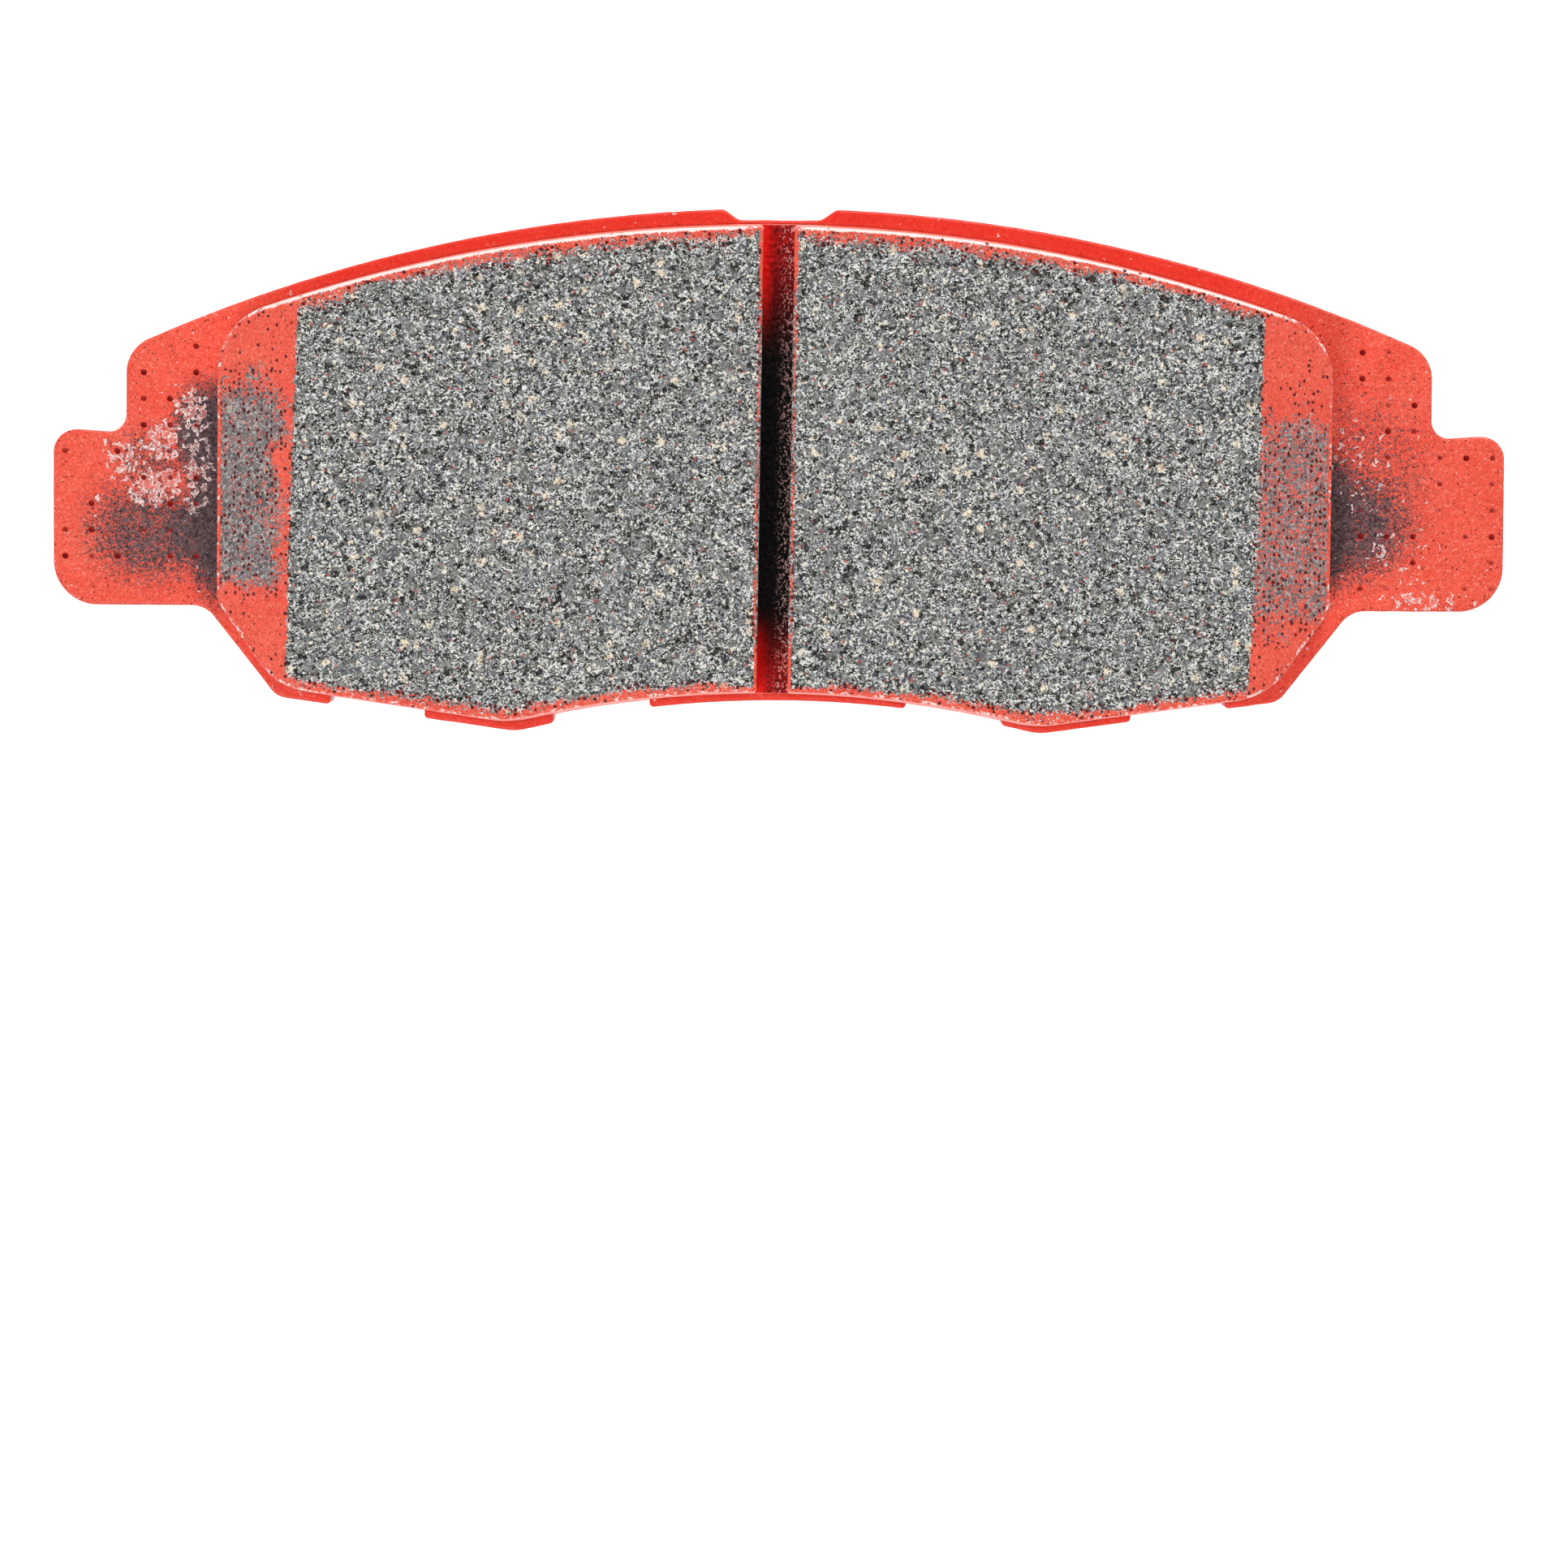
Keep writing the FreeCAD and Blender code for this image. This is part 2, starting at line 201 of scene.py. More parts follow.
class Round:
    """An outline edge on a circle; turn is 1 where it runs anticlockwise and -1 clockwise."""

    def __init__(self, centre, radius, turn):
        self.centre, self.radius, self.turn = np.asarray(centre, float), radius, turn

    def moved(self, inset):
        return Round(self.centre, self.radius + self.turn * inset, self.turn)

    def heading_at(self, point):
        x, y = unit(point - self.centre)
        return self.turn * np.array([-y, x])

    def foot(self, point):
        return self.centre + self.radius * unit(point - self.centre)

    def sweep(self, start, stop):
        first, last = (math.atan2(*(point - self.centre)[::-1]) for point in (start, stop))
        angle = ((last - first) * self.turn) % math.tau
        return first, self.turn * (0.0 if angle > math.tau - 1e-6 else angle)

    def length(self, start, stop):
        return abs(self.sweep(start, stop)[1]) * self.radius

    def spread(self, start, stop, count):
        """The same as for a line, but round the circle."""
        first, angle = self.sweep(start, stop)
        angles = first + angle * np.arange(count) / count
        radial = np.stack([np.cos(angles), np.sin(angles)], 1)
        return self.centre + self.radius * radial, self.turn * radial


def meet(one, other, near):
    """Where two edges cross, closest to a point; at least one of them is a line."""
    if isinstance(one, Round):
        one, other = other, one
    if isinstance(other, Line):
        across = np.dot(one.heading, other.inward)
        return one.start + one.heading * np.dot(other.start - one.start, other.inward) / across
    foot = one.foot(other.centre)
    half = math.sqrt(other.radius**2 - np.sum((foot - other.centre) ** 2))
    ends = [foot + one.heading * half, foot - one.heading * half]
    return min(ends, key=lambda end: np.linalg.norm(end - near))


class Outline:
    """A closed outline of edges with rounded corners, which can be redrawn at any inset.

    corners is a list of (point, radius), and edges[i] leaves corners[i]. An edge in fixed stays where
    it is at every inset.
    """

    def __init__(self, corners, edges, fixed=()):
        self.corners, self.edges, self.fixed = corners, edges, fixed
        self.counts = []
        for curve, start, stop in self.pieces(0.0):
            bend = curve.sweep(start, stop)[1] if isinstance(curve, Round) else 0.0
            by_length = curve.length(start, stop) / WALL_SPACING
            self.counts.append(max(1, math.ceil(by_length), math.ceil(abs(bend) / math.radians(12))))

    def pieces(self, inset):
        """Corner round, edge, corner round, edge and so on, each with its two ends."""
        edges = [edge if i in self.fixed else edge.moved(inset) for i, edge in enumerate(self.edges)]
        rounds = []
        for before, after, (near, radius) in zip(edges[-1:] + edges[:-1], edges, self.corners):
            corner = meet(before, after, near)
            one, two = before.heading_at(corner), after.heading_at(corner)
            turn = 1 if one[0] * two[1] > one[1] * two[0] else -1
            centre = meet(before.moved(-turn * radius), after.moved(-turn * radius), corner)
            rounds.append((Round(centre, radius, turn), before.foot(centre), after.foot(centre)))
        for edge, this, following in zip(edges, rounds, rounds[1:] + rounds[:1]):
            yield this
            yield edge, this[2], following[1]

    def ring(self, inset=0.0):
        """Points of the outline at this inset, and the inward direction at each."""
        parts = [
            curve.spread(start, stop, count)
            for (curve, start, stop), count in zip(self.pieces(inset), self.counts)
        ]
        return tuple(np.concatenate(part) for part in zip(*parts))


def on_circle(radius, x):
    """The point at x on a circle of this radius about the disc's axis."""
    return x, math.sqrt(radius**2 - x**2) + DISC_AXIS[1]


def mirror(corners):
    """The left half's corners from bottom to top, for the right half's from top to bottom."""
    return [((-x, y), radius) for (x, y), radius in reversed(corners)]


def edges_between(corners, radii, place=lambda point: np.asarray(point, float)):
    """The edge after each corner: a line, or an arc about the disc's axis where it has a radius."""
    points = [place(point) for point, _ in corners]
    centre = place(DISC_AXIS)
    edges = []
    for start, stop, radius in zip(points, points[1:] + points[:1], radii):
        if radius is None:
            edges.append(Line(start, stop - start))
        else:
            one, two = start - centre, stop - centre
            edges.append(Round(centre, radius, 1 if one[0] * two[1] > one[1] * two[0] else -1))
    return [(point, corner[1]) for point, corner in zip(points, corners)], edges


def plate_outline():
    """The backing plate's outline, clockwise from the locating notch."""
    lobe = np.array(on_circle(INNER_EDGE_RADIUS, LOBE_X))
    clip_floor_radius = INNER_EDGE_RADIUS + CLIP_NOTCH_DEPTH

    def on_tab_edge(x, up=0.0):
        return x, lobe[1] + (x - LOBE_X) * TAB_EDGE_SLOPE + up

    far, near = OUTER_CLIP_X
    inner_far, inner_near = INNER_CLIP_X
    steps = [
        (LOCATOR_FLOOR, LOCATOR_RADIUS, None),
        (on_circle(OUTER_EDGE_RADIUS, LOCATOR_MOUTH_X), LOCATOR_RADIUS, OUTER_EDGE_RADIUS),
        (on_circle(OUTER_EDGE_RADIUS, SHOULDER_X), SHOULDER_RADIUS, None),
        ((SHOULDER_X, EAR_TOP_Y), EAR_ROOT_TOP_RADIUS, None),
        (EAR_TIP, EAR_TIP_RADIUS, None),
        ((EAR_TIP[0], EAR_BOTTOM_Y), EAR_HEEL_RADIUS, None),
        ((EAR_ROOT_X, EAR_BOTTOM_Y), EAR_ROOT_RADIUS, None),
        (on_tab_edge(END_CORNER_X), END_CORNER_RADIUS, None),
        (on_tab_edge(far), CLIP_MOUTH_RADIUS, None),
        (on_tab_edge(far, CLIP_NOTCH_DEPTH), CLIP_FLOOR_RADIUS, None),
        (on_tab_edge(near, CLIP_NOTCH_DEPTH), CLIP_FLOOR_RADIUS, None),
        (on_tab_edge(near), CLIP_MOUTH_RADIUS, None),
        (lobe, LOBE_RADIUS, INNER_EDGE_RADIUS),
        (on_circle(INNER_EDGE_RADIUS, inner_far), CLIP_MOUTH_RADIUS, None),
        (on_circle(clip_floor_radius, inner_far), CLIP_FLOOR_RADIUS, clip_floor_radius),
        (on_circle(clip_floor_radius, inner_near), CLIP_FLOOR_RADIUS, None),
        (on_circle(INNER_EDGE_RADIUS, inner_near), CLIP_MOUTH_RADIUS, INNER_EDGE_RADIUS),
    ]
    radii = [radius for _, _, radius in steps]
    right = [(point, round_off) for point, round_off, _ in steps]
    return Outline(*edges_between(right + mirror(right), radii + radii[-2::-1] + [None]))


def in_moulding(point):
    """A point of the moulding's own frame, which sits a little turned and off the plate's middle."""
    return turned(point, MOULDING_LEAN) + MOULDING_SHIFT


def moulding_corners():
    """Corners of the right half of the footprint, and the radii of its two arched edges."""
    outer = OUTER_EDGE_RADIUS - MOULDING_INSET
    inner = INNER_EDGE_RADIUS + MOULDING_INSET
    corners = [
        (on_circle(outer, MOULDING_END_X), MOULDING_TOP_RADIUS),
        ((MOULDING_END_X, MOULDING_END_LOW_Y), MOULDING_END_RADIUS),
        (MOULDING_CORNER, MOULDING_CORNER_RADIUS),
        (on_circle(inner, LOBE_X), MOULDING_LOBE_RADIUS),
    ]
    return corners, outer, inner


def moulding_outline():
    """The whole footprint of the moulding on the plate."""
    right, outer, inner = moulding_corners()
    radii = [None, None, None, inner, None, None, None, outer]
    return Outline(*edges_between(right + mirror(right), radii, in_moulding))


def slot_side(side):
    """A point of the slot wall beside one block, and the wall's direction towards the arched edge."""
    near = turned((MACHINING_SHIFT + side * SLOT_HALF_WIDTH, 0), SLOT_LEAN)
    return near, turned((0, 1), SLOT_LEAN)


def block_outline(side):
    """The footprint of one friction block: a half of the moulding, up to the slot."""
    right, outer, inner = moulding_corners()
    point, up = slot_side(side)
    wall = Line(point, up)
    axis = in_moulding(DISC_AXIS)
    top = meet(wall, Round(axis, outer, -1), point + up * LOCATOR_FLOOR[1])
    bottom = meet(wall, Round(axis, inner, 1), point - up * LOCATOR_FLOOR[1])
    if side > 0:
        outside, radii = right, [None, None, None, inner]
    else:
        outside, radii = mirror(right), [None, None, None, outer]
    corners, edges = edges_between(outside, radii, in_moulding)
    arched = Round(axis, outer, -1) if side > 0 else Round(axis, inner, 1)
    edges[-1] = Round(axis, inner, 1) if side > 0 else Round(axis, outer, -1)
    sawn = Line(point, up * side)
    first, last = (top, bottom) if side > 0 else (bottom, top)
    corners = [(first, SAWN_CORNER_RADIUS)] + corners + [(last, SAWN_CORNER_RADIUS)]
    edges = [arched] + edges + [sawn]
    return Outline(corners, edges, fixed=(len(edges) - 1,))


def draft_inset(height):
    """How far the moulding's wall has leaned in at this height."""
    return (height - PLATE_FACE) * math.tan(math.radians(MOULDING_DRAFT))


def chamfer_height(points, side):
    """Height of the ground end slope over plan points; it is above the face away from the end."""
    crest = CHAMFER_FACE_X + side * MACHINING_SHIFT
    slope = CHAMFER_DROP / (CHAMFER_END_X - crest)
    lean = math.radians(CHAMFER_LEAN)
    along = points[:, 0] * math.cos(lean) - points[:, 1] * math.sin(lean)
    return PAD_FACE - (side * along - crest) * slope


def ground_height(points, side):
    """Height of a block's ground surface: the flat face and the end slope, with a worn crest."""
    slope = chamfer_height(points, side)
    gap = np.clip(np.abs(slope - PAD_FACE) / CREST_BLEND, 0, 1)
    return np.minimum(slope, PAD_FACE) - CREST_BLEND / 4 * (1 - gap) ** 2


def wobble(points, size, seed, octaves=2):
    """Smooth noise of about -1 to 1 at each point, with features of this size."""
    shift = Vector((seed * 17.3, seed * 5.1, seed * 9.7))
    return np.array([
        noise.fractal(Vector(point) / size + shift, 1.0, 2.0, octaves, noise_basis="PERLIN_ORIGINAL")
        for point in points
    ])


def lattice(low, high, step):
    """Points of a triangular grid over a box."""
    row_step = step * math.sqrt(3) / 2
    rows = np.arange(low[1], high[1], row_step)
    columns = np.arange(low[0], high[0], step)
    x, y = np.meshgrid(columns, rows)
    x[1::2] += step / 2
    return np.stack([x.ravel(), y.ravel()], 1)


def nearest_of(targets):
    """A search of plan points: it gives each one's nearest target, by number, and the distance."""
    tree = kdtree.KDTree(len(targets))
    for index, (x, y) in enumerate(targets):
        tree.insert((x, y, 0), index)
    tree.balance()

    def nearest(points):
        found = [tree.find((x, y, 0)) for x, y in points[:, :2]]
        return np.array([index for _, index, _ in found], int), np.array([gap for _, _, gap in found])

    return nearest


class Rim:
    """Signed distances to a ring, positive inside it."""

    def __init__(self, ring, inward):
        self.ring, self.inward = ring, inward
        self.nearest = nearest_of(ring)

    def depth(self, points):
        index, gap = self.nearest(points)
        side = np.einsum("ij,ij->i", points[:, :2] - self.ring[index], self.inward[index])
        return np.where(side > 0, gap, -gap)


def encloses(ring, points):
    """Whether the ring goes round each point: an odd number of its edges lie to the right."""
    x, y = points.T[:, :, None]
    (x1, y1), (x2, y2) = ring.T, np.roll(ring, -1, 0).T
    level = (y1 > y) != (y2 > y)
    crossing = x1 + (y - y1) * (x2 - x1) / np.where(y2 == y1, 1.0, y2 - y1)
    return (level & (x < crossing)).sum(1) % 2 == 1


# Below this area in square millimetres, the sides of a triangle on the ring are too nearly in line
# to tell from its middle whether it is inside.
SLIVER_AREA = 1e-4


def chords(face, count):
    """The sides of a triangle that join two of a ring's count points but aren't edges of the ring."""
    return {
        frozenset(side) for side in zip(face, np.roll(face, 1))
        if max(side) < count and (side[0] - side[1]) % count not in (1, count - 1)
    }


def fill(ring, inside):
    """Triangles that fill a ring, through the points inside it; the ring's points come first."""
    flat = np.concatenate([ring, inside])
    count = len(ring)
    loop = [(i, (i + 1) % count) for i in range(count)]
    hull = geometry.delaunay_2d_cdt([Vector(point) for point in flat], loop, [], 0, 1e-7, True)
    first = np.array([sources[0] for sources in hull[3]])
    faces = first[np.array(hull[2], int)]
    corners = flat[faces]
    (x1, y1), (x2, y2) = (corners[:, 1] - corners[:, 0]).T, (corners[:, 2] - corners[:, 0]).T
    on_ring = (faces < count).all(1)
    sliver = on_ring & (np.abs(x1 * y2 - x2 * y1) < 2 * SLIVER_AREA)
    kept = ~on_ring
    clear = on_ring & ~sliver
    kept[clear] = encloses(ring, corners[clear].mean(1))
    # A sliver is inside where a chord joins it to a triangle that is.
    beside = faces[kept & ((faces < count).sum(1) > 1)]
    reached = set().union(*(chords(face, count) for face in beside))
    waiting = np.flatnonzero(sliver)
    joined = waiting
    while len(joined):
        joins = np.array([bool(reached & chords(faces[index], count)) for index in waiting], bool)
        joined, waiting = waiting[joins], waiting[~joins]
        reached = reached.union(*(chords(faces[index], count) for index in joined))
        kept[joined] = True
    return faces[kept]


def raised(plan, height):
    """Plan points with their height."""
    return np.column_stack([plan, np.broadcast_to(height, len(plan))])


def closed_skin(name, rings, top_inside, bottom_inside):
    """A closed mesh object: rings from the bottom up, both ends filled through their inside points."""
    count = len(rings[0])
    here = np.arange(count)
    ahead = np.roll(here, -1)
    walls = np.concatenate([
        np.stack([here, here + count, ahead + count, ahead], 1) + level * count
        for level in range(len(rings) - 1)
    ])
    points = np.concatenate([*rings, top_inside, bottom_inside])
    top_start, top_first = (len(rings) - 1) * count, len(rings) * count
    top = fill(rings[-1][:, :2], top_inside[:, :2])
    top = np.where(top < count, top + top_start, top - count + top_first)
    bottom = fill(rings[0][:, :2], bottom_inside[:, :2])[:, ::-1]
    bottom = np.where(bottom < count, bottom, bottom - count + top_first + len(top_inside))
    mesh = bpy.data.meshes.new(name)
    mesh.from_pydata(points * MM, [], walls.tolist() + top.tolist() + bottom.tolist())
    mesh.validate()
    mesh.shade_smooth()
    mesh.set_sharp_from_angle(angle=math.radians(50))
    piece = bpy.data.objects.new(name, mesh)
    bpy.context.scene.collection.objects.link(piece)
    return piece, points


def set_amount(piece, name, values):
    """Stores one number for each point of the mesh, for the materials to read."""
    attribute = piece.data.attributes.new(name, "FLOAT", "POINT")
    attribute.data.foreach_set("value", np.asarray(values, np.float32))


def stand_for(piece, node):
    """Puts a finished piece in the frame in place of its CAD node."""
    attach(piece, "root")
    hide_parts(node)


# The coat's uneven surface, on the walls and on the plate's front.
COAT_LUMPS = 1.6
COAT_LUMP_DEPTH = 0.05
PEEL_SIZE = 0.9
PEEL_DEPTH = 0.012


def lumpy(ring, inward, height):
    """A ring at one height whose coated wall is slightly uneven, inwards only."""
    here = raised(ring, height)
    inset = COAT_LUMP_DEPTH * (0.5 + 0.5 * np.clip(wobble(here, COAT_LUMPS, seed=1), -1, 1))
    return raised(ring + inward * inset[:, None], height)


def hidden_points(ring, inward, height):
    """Coarse points inside a ring, for an end that is flat and hidden."""
    plan = ring[:, :2]
    points = lattice(plan.min(0), plan.max(0), COARSE_STEP)
    return raised(points[Rim(plan, inward).depth(points) > COARSE_STEP / 3], height)


def pit_centres():
    """Centres of the punched pits on both ends of the plate."""
    for columns, first_row, last_row in PIT_BLOCKS:
        for row in range(first_row, last_row + 1):
            for column in range(columns):
                x = PIT_FIRST[0] + PIT_PITCH * column
                y = PIT_FIRST[1] + PIT_PITCH * row
                yield x, y
                yield -x, y


def pit_points():
    """Rings of points round every pit, so that each is round and sharp."""
    points = []
    for x, y in pit_centres():
        points.append((x, y))
        for share, count in PIT_RINGS:
            for angle in np.arange(count) * math.tau / count:
                radius = share * PIT_RADIUS
                points.append((x + radius * math.cos(angle), y + radius * math.sin(angle)))
    return np.array(points)


def pit_depth(points):
    """Per point: how far the pits take the face down, pit radii to the nearest pit, and how clear it is."""
    centres = list(pit_centres())
    index, distance = nearest_of(centres)(points)
    gap = distance / PIT_RADIUS
    draws = np.array([noise.cell(Vector((x, y, 0)) * PIT_PITCH) for x, y in centres])
    clear = PIT_CLEAR[0] + (PIT_CLEAR[1] - PIT_CLEAR[0]) * draws[index]
    bowl = PIT_DEPTH * np.sqrt(np.clip(1 - gap**2, 0, 1)) * clear
    middle, width, rise = PIT_BURR
    burr = rise * np.exp(-(((gap - middle) / width) ** 2))
    return bowl - burr, gap, clear


# The coat's bead at the foot of the moulding.
BEAD_REACH = 0.35
BEAD_HEIGHT = 0.16
BEAD_LUMPS = 0.8

# Crusty residue on the plate: centre, half-widths and strength of each patch.
RESIDUE_PATCHES = (
    ((-60.4, 6.0), (2.6, 3.4), 0.85),
    ((-60.2, 0.0), (2.6, 7.0), 0.62),
    ((-63.6, 2.8), (3.2, 3.0), 0.75),
    ((-64.6, -1.6), (4.6, 3.2), 0.85),
    ((-67.6, 0.6), (3.6, 4.0), 0.6),
    ((60.0, 1.0), (4.0, 7.0), 0.4),
    ((64.0, -8.0), (5.5, 4.5), 0.42),
    ((67.0, -13.0), (7.0, 1.6), 0.66),
)
CRUST_SIZE = 0.9
CRUST_LEVEL = 0.05
CRUST_HEIGHT = 0.05

# Where the coat is thin over dark primer: centre, half-widths and strength of each zone.
THIN_COAT_ZONES = (
    ((-57.2, -5.0), (6.2, 12.0), 1.15),
    ((-60.0, -6.5), (8.5, 6.5), 0.8),
    ((-65.0, -6.4), (11.0, 8.5), 0.65),
    ((-59.0, 3.5), (5.5, 8.0), 0.95),
    ((-64.5, 1.0), (7.5, 6.0), 0.5),
    ((56.4, -4.5), (6.0, 11.0), 0.98),
    ((58.5, -5.0), (11.0, 9.5), 0.76),
    ((60.0, -1.0), (12.5, 16.0), 0.42),
)
# A patch is at full strength up to the first of these shares of its half-widths, and ends at the second.
PATCH_FADE = (0.2, 1.15)

# The coat is a richer red along the two long edges, and fades to coral between these distances.
RICH_COAT_X = (44.0, 58.0)

PLATE_WALL_RINGS = 12
PLATE_ROLL_STEPS = (25, 50, 75, 90)


def patch_strength(points, patches):
    """How strongly each point is inside one of the patches, from 0 outside them all."""
    strength = np.zeros(len(points))
    for centre, half, most in patches:
        reach = np.linalg.norm((points[:, :2] - centre) / half, axis=1)
        strength = np.maximum(strength, most * (1 - ramp(reach, *PATCH_FADE)))
    return strength


def plate_rings(ring, inward):
    """Rings up the plate's sheared wall and over its rolled front rim."""
    rings = [raised(ring + inward * SHEARED_EDGE_BREAK, 0.0)]
    roll_start = PLATE_FACE - PRESS_EDGE_RADIUS
    for height in np.linspace(SHEARED_EDGE_BREAK, roll_start, PLATE_WALL_RINGS):
        rings.append(lumpy(ring, inward, height))
    for angle in np.radians(PLATE_ROLL_STEPS):
        inset = PRESS_EDGE_RADIUS * (1 - math.cos(angle)) + COAT_LUMP_DEPTH / 2
        rings.append(raised(ring + inward * inset, roll_start + PRESS_EDGE_RADIUS * math.sin(angle)))
    return rings


def plate_front_points(rim, footprint):
    """Plan points of the plate's front: fine where it shows, coarse under the moulding, rings at pits."""
    low, high = rim.ring.min(0), rim.ring.max(0)
    fine = lattice(low, high, FINE_STEP)
    fine = fine[footprint.depth(fine) < 2 * FINE_STEP]
    fine = fine[rim.depth(fine) > FINE_STEP / 2]
    fine = fine[pit_depth(fine)[1] > PIT_RINGS[0][0] + PIT_RING_MARGIN]
    coarse = lattice(low, high, COARSE_STEP)
    coarse = coarse[footprint.depth(coarse) > COARSE_STEP]
    pits = pit_points()
    pits = pits[(rim.depth(pits) > PIT_RIM_MARGIN) & (footprint.depth(pits) < 0)]
    return np.concatenate([fine, coarse, pits])


def plate_front_height(points, footprint):
    """Height of the plate's front at plan points: pits, orange peel, bead of coat and crust."""
    height = PLATE_FACE - pit_depth(points)[0]
    plan = raised(points, 0.0)
    height -= PEEL_DEPTH * (0.5 + 0.5 * wobble(plan, PEEL_SIZE, seed=2))
    away = -footprint.depth(points)
    slope = np.clip(1 - away / BEAD_REACH, 0, 1) ** 2
    bead = BEAD_HEIGHT * slope * (1 + 0.5 * wobble(plan, BEAD_LUMPS, seed=3))
    height += np.where(away > 0, bead, 0.0)
    crusty = wobble(plan, CRUST_SIZE, seed=4, octaves=4) > CRUST_LEVEL
    return height + CRUST_HEIGHT * patch_strength(points, RESIDUE_PATCHES) * crusty


def plate_piece():
    """The coated steel plate: sheared wall, rolled front rim, pits and a bead of coat at the moulding."""
    ring, inward = plate_outline().ring()
    rings = plate_rings(ring, inward)
    rim = Rim(rings[-1][:, :2], inward)
    footprint = Rim(*moulding_outline().ring())
    inside = plate_front_points(rim, footprint)
    front = raised(inside, plate_front_height(inside, footprint))
    piece, points = closed_skin("backing_plate_coated", rings, front, hidden_points(rings[0], inward, 0.0))
    on_front = points[:, 2] > PLATE_FACE - 1.5 * PIT_DEPTH
    set_amount(piece, "residue", patch_strength(points, RESIDUE_PATCHES) * on_front)
    set_amount(piece, "thin_coat", patch_strength(points, THIN_COAT_ZONES) * on_front)
    _, gap, clear = pit_depth(points)
    set_amount(piece, "pit", (1 - ramp(gap, *PIT_SHADE_REACH)) * np.sqrt(clear) * on_front)
    set_amount(piece, "front", ramp(points[:, 2], PLATE_FACE - 2 * PRESS_EDGE_RADIUS, PLATE_FACE))
    set_amount(piece, "rich_coat", 1 - ramp(np.abs(points[:, 0]), *RICH_COAT_X))
    return piece


def film_piece():
    """The thin adhesive film, seen only as a line under the moulding."""
    outline = moulding_outline()
    rings = []
    for height in (PLATE_FACE, (PLATE_FACE + FILM_TOP) / 2, FILM_TOP):
        ring, inward = outline.ring(draft_inset(height))
        rings.append(raised(ring, height))
    top = hidden_points(rings[-1], inward, FILM_TOP)
    bottom = raised(top[:, :2], PLATE_FACE)
    piece, _ = closed_skin("bonding_film_edge", rings, top, bottom)
    return piece


UNDERLAYER_RINGS = 7

# The slot's floor: a strip wide enough for the leaning slot, with grit that fades out at its sides.
SLOT_STRIP_HALF_WIDTH = 2.6
SLOT_FLOOR_STEP = 0.16
SLOT_FLOOR_MARGIN = 0.3
SLOT_END_MARGIN = 0.1
SLOT_FLOOR_GRIT = 0.1
SLOT_GRIT_SIZE = 0.45
SLOT_GRIT_FADE = (-0.1, 0.2)

# The coat reached into the slot from its two mouths only: their places, and how far it reached.
SLOT_MOUTHS_Y = (-21.9, 24.4)
SLOT_COAT_REACH = (8.5, 13.5)


def off_slot(points):
    """Distance of plan points from the slot's centreline."""
    point, up = slot_side(1)
    other, _ = slot_side(-1)
    across = np.array([up[1], -up[0]])
    return (points[:, :2] - (point + other) / 2) @ across


def slot_coat(points):
    """How well the coat reached into the slot at each point: fully at its two mouths only."""
    low = (points[:, 1] - SLOT_MOUTHS_Y[0]) / SLOT_COAT_REACH[0]
    high = (SLOT_MOUTHS_Y[1] - points[:, 1]) / SLOT_COAT_REACH[1]
    return 1 - ramp(np.minimum(low, high), 0.0, 1.0)


def slot_floor_points(rim):
    """Points of the slot's rough sawn floor."""
    low, high = rim.ring.min(0), rim.ring.max(0)
    strip = lattice((-SLOT_STRIP_HALF_WIDTH, low[1]), (SLOT_STRIP_HALF_WIDTH, high[1]), SLOT_FLOOR_STEP)
    off = np.abs(off_slot(strip))
    chosen = (off < SLOT_HALF_WIDTH + SLOT_FLOOR_MARGIN) & (rim.depth(strip) > SLOT_FLOOR_STEP / 2)
    strip, off = strip[chosen], off[chosen]
    grit = SLOT_FLOOR_GRIT * np.clip(wobble(raised(strip, 0), SLOT_GRIT_SIZE, seed=5, octaves=3), -1, 1)
    return raised(strip, UNDERLAYER_TOP + grit * ramp(SLOT_HALF_WIDTH - off, *SLOT_GRIT_FADE))


def underlayer_piece():
    """The underlayer: a drafted rim, and a rough sawn floor where the slot crosses it."""
    outline = moulding_outline()
    rings = []
    for height in np.linspace(FILM_TOP, UNDERLAYER_TOP, UNDERLAYER_RINGS):
        ring, inward = outline.ring(draft_inset(height))
        rings.append(lumpy(ring, inward, height))
    rim = Rim(rings[-1][:, :2], inward)
    covered = hidden_points(rings[-1], inward, UNDERLAYER_TOP)
    bottom = raised(covered[:, :2], FILM_TOP)
    covered = covered[np.abs(off_slot(covered)) > SLOT_HALF_WIDTH + COARSE_STEP / 2]
    top = np.concatenate([covered, slot_floor_points(rim)])
    piece, points = closed_skin("underlayer_coated", rings, top, bottom)
    off = off_slot(points)
    in_slot = points[:, 2] > UNDERLAYER_TOP - 1.5 * SLOT_FLOOR_GRIT
    in_slot &= np.abs(off) < SLOT_HALF_WIDTH + SLOT_FLOOR_MARGIN
    in_slot &= rim.depth(points) > SLOT_END_MARGIN
    set_amount(piece, "coat", slot_coat(points))
    set_amount(piece, "slot_floor", in_slot)
    set_amount(piece, "across", 0.5 + 0.5 * np.clip(off / SLOT_HALF_WIDTH, -1, 1))
    return piece


# The ground faces: fine grain, and a few plucked-out grains.
GRAIN_STEP = 0.2
GRAIN_SIZE = 0.5
GRAIN_DEPTH = 0.05
RELIEF_FADE = (0.0, 0.5)
PLUCK_SPACING = 2.2
PLUCK_SHARE = 0.35
PLUCK_RADIUS = 0.22
PLUCK_STEEPNESS = 1.6
PLUCK_DEPTH = 0.14
# Spreads the cells' centres far apart, so that each cell draws its own number.
PLUCK_DRAW = 31.7

BLOCK_WALL_RINGS = 22
FACE_BREAK_STEPS = (20, 45, 70, 90)
CHIP_SIZE = 0.9
CHIP_SHARE = 0.6

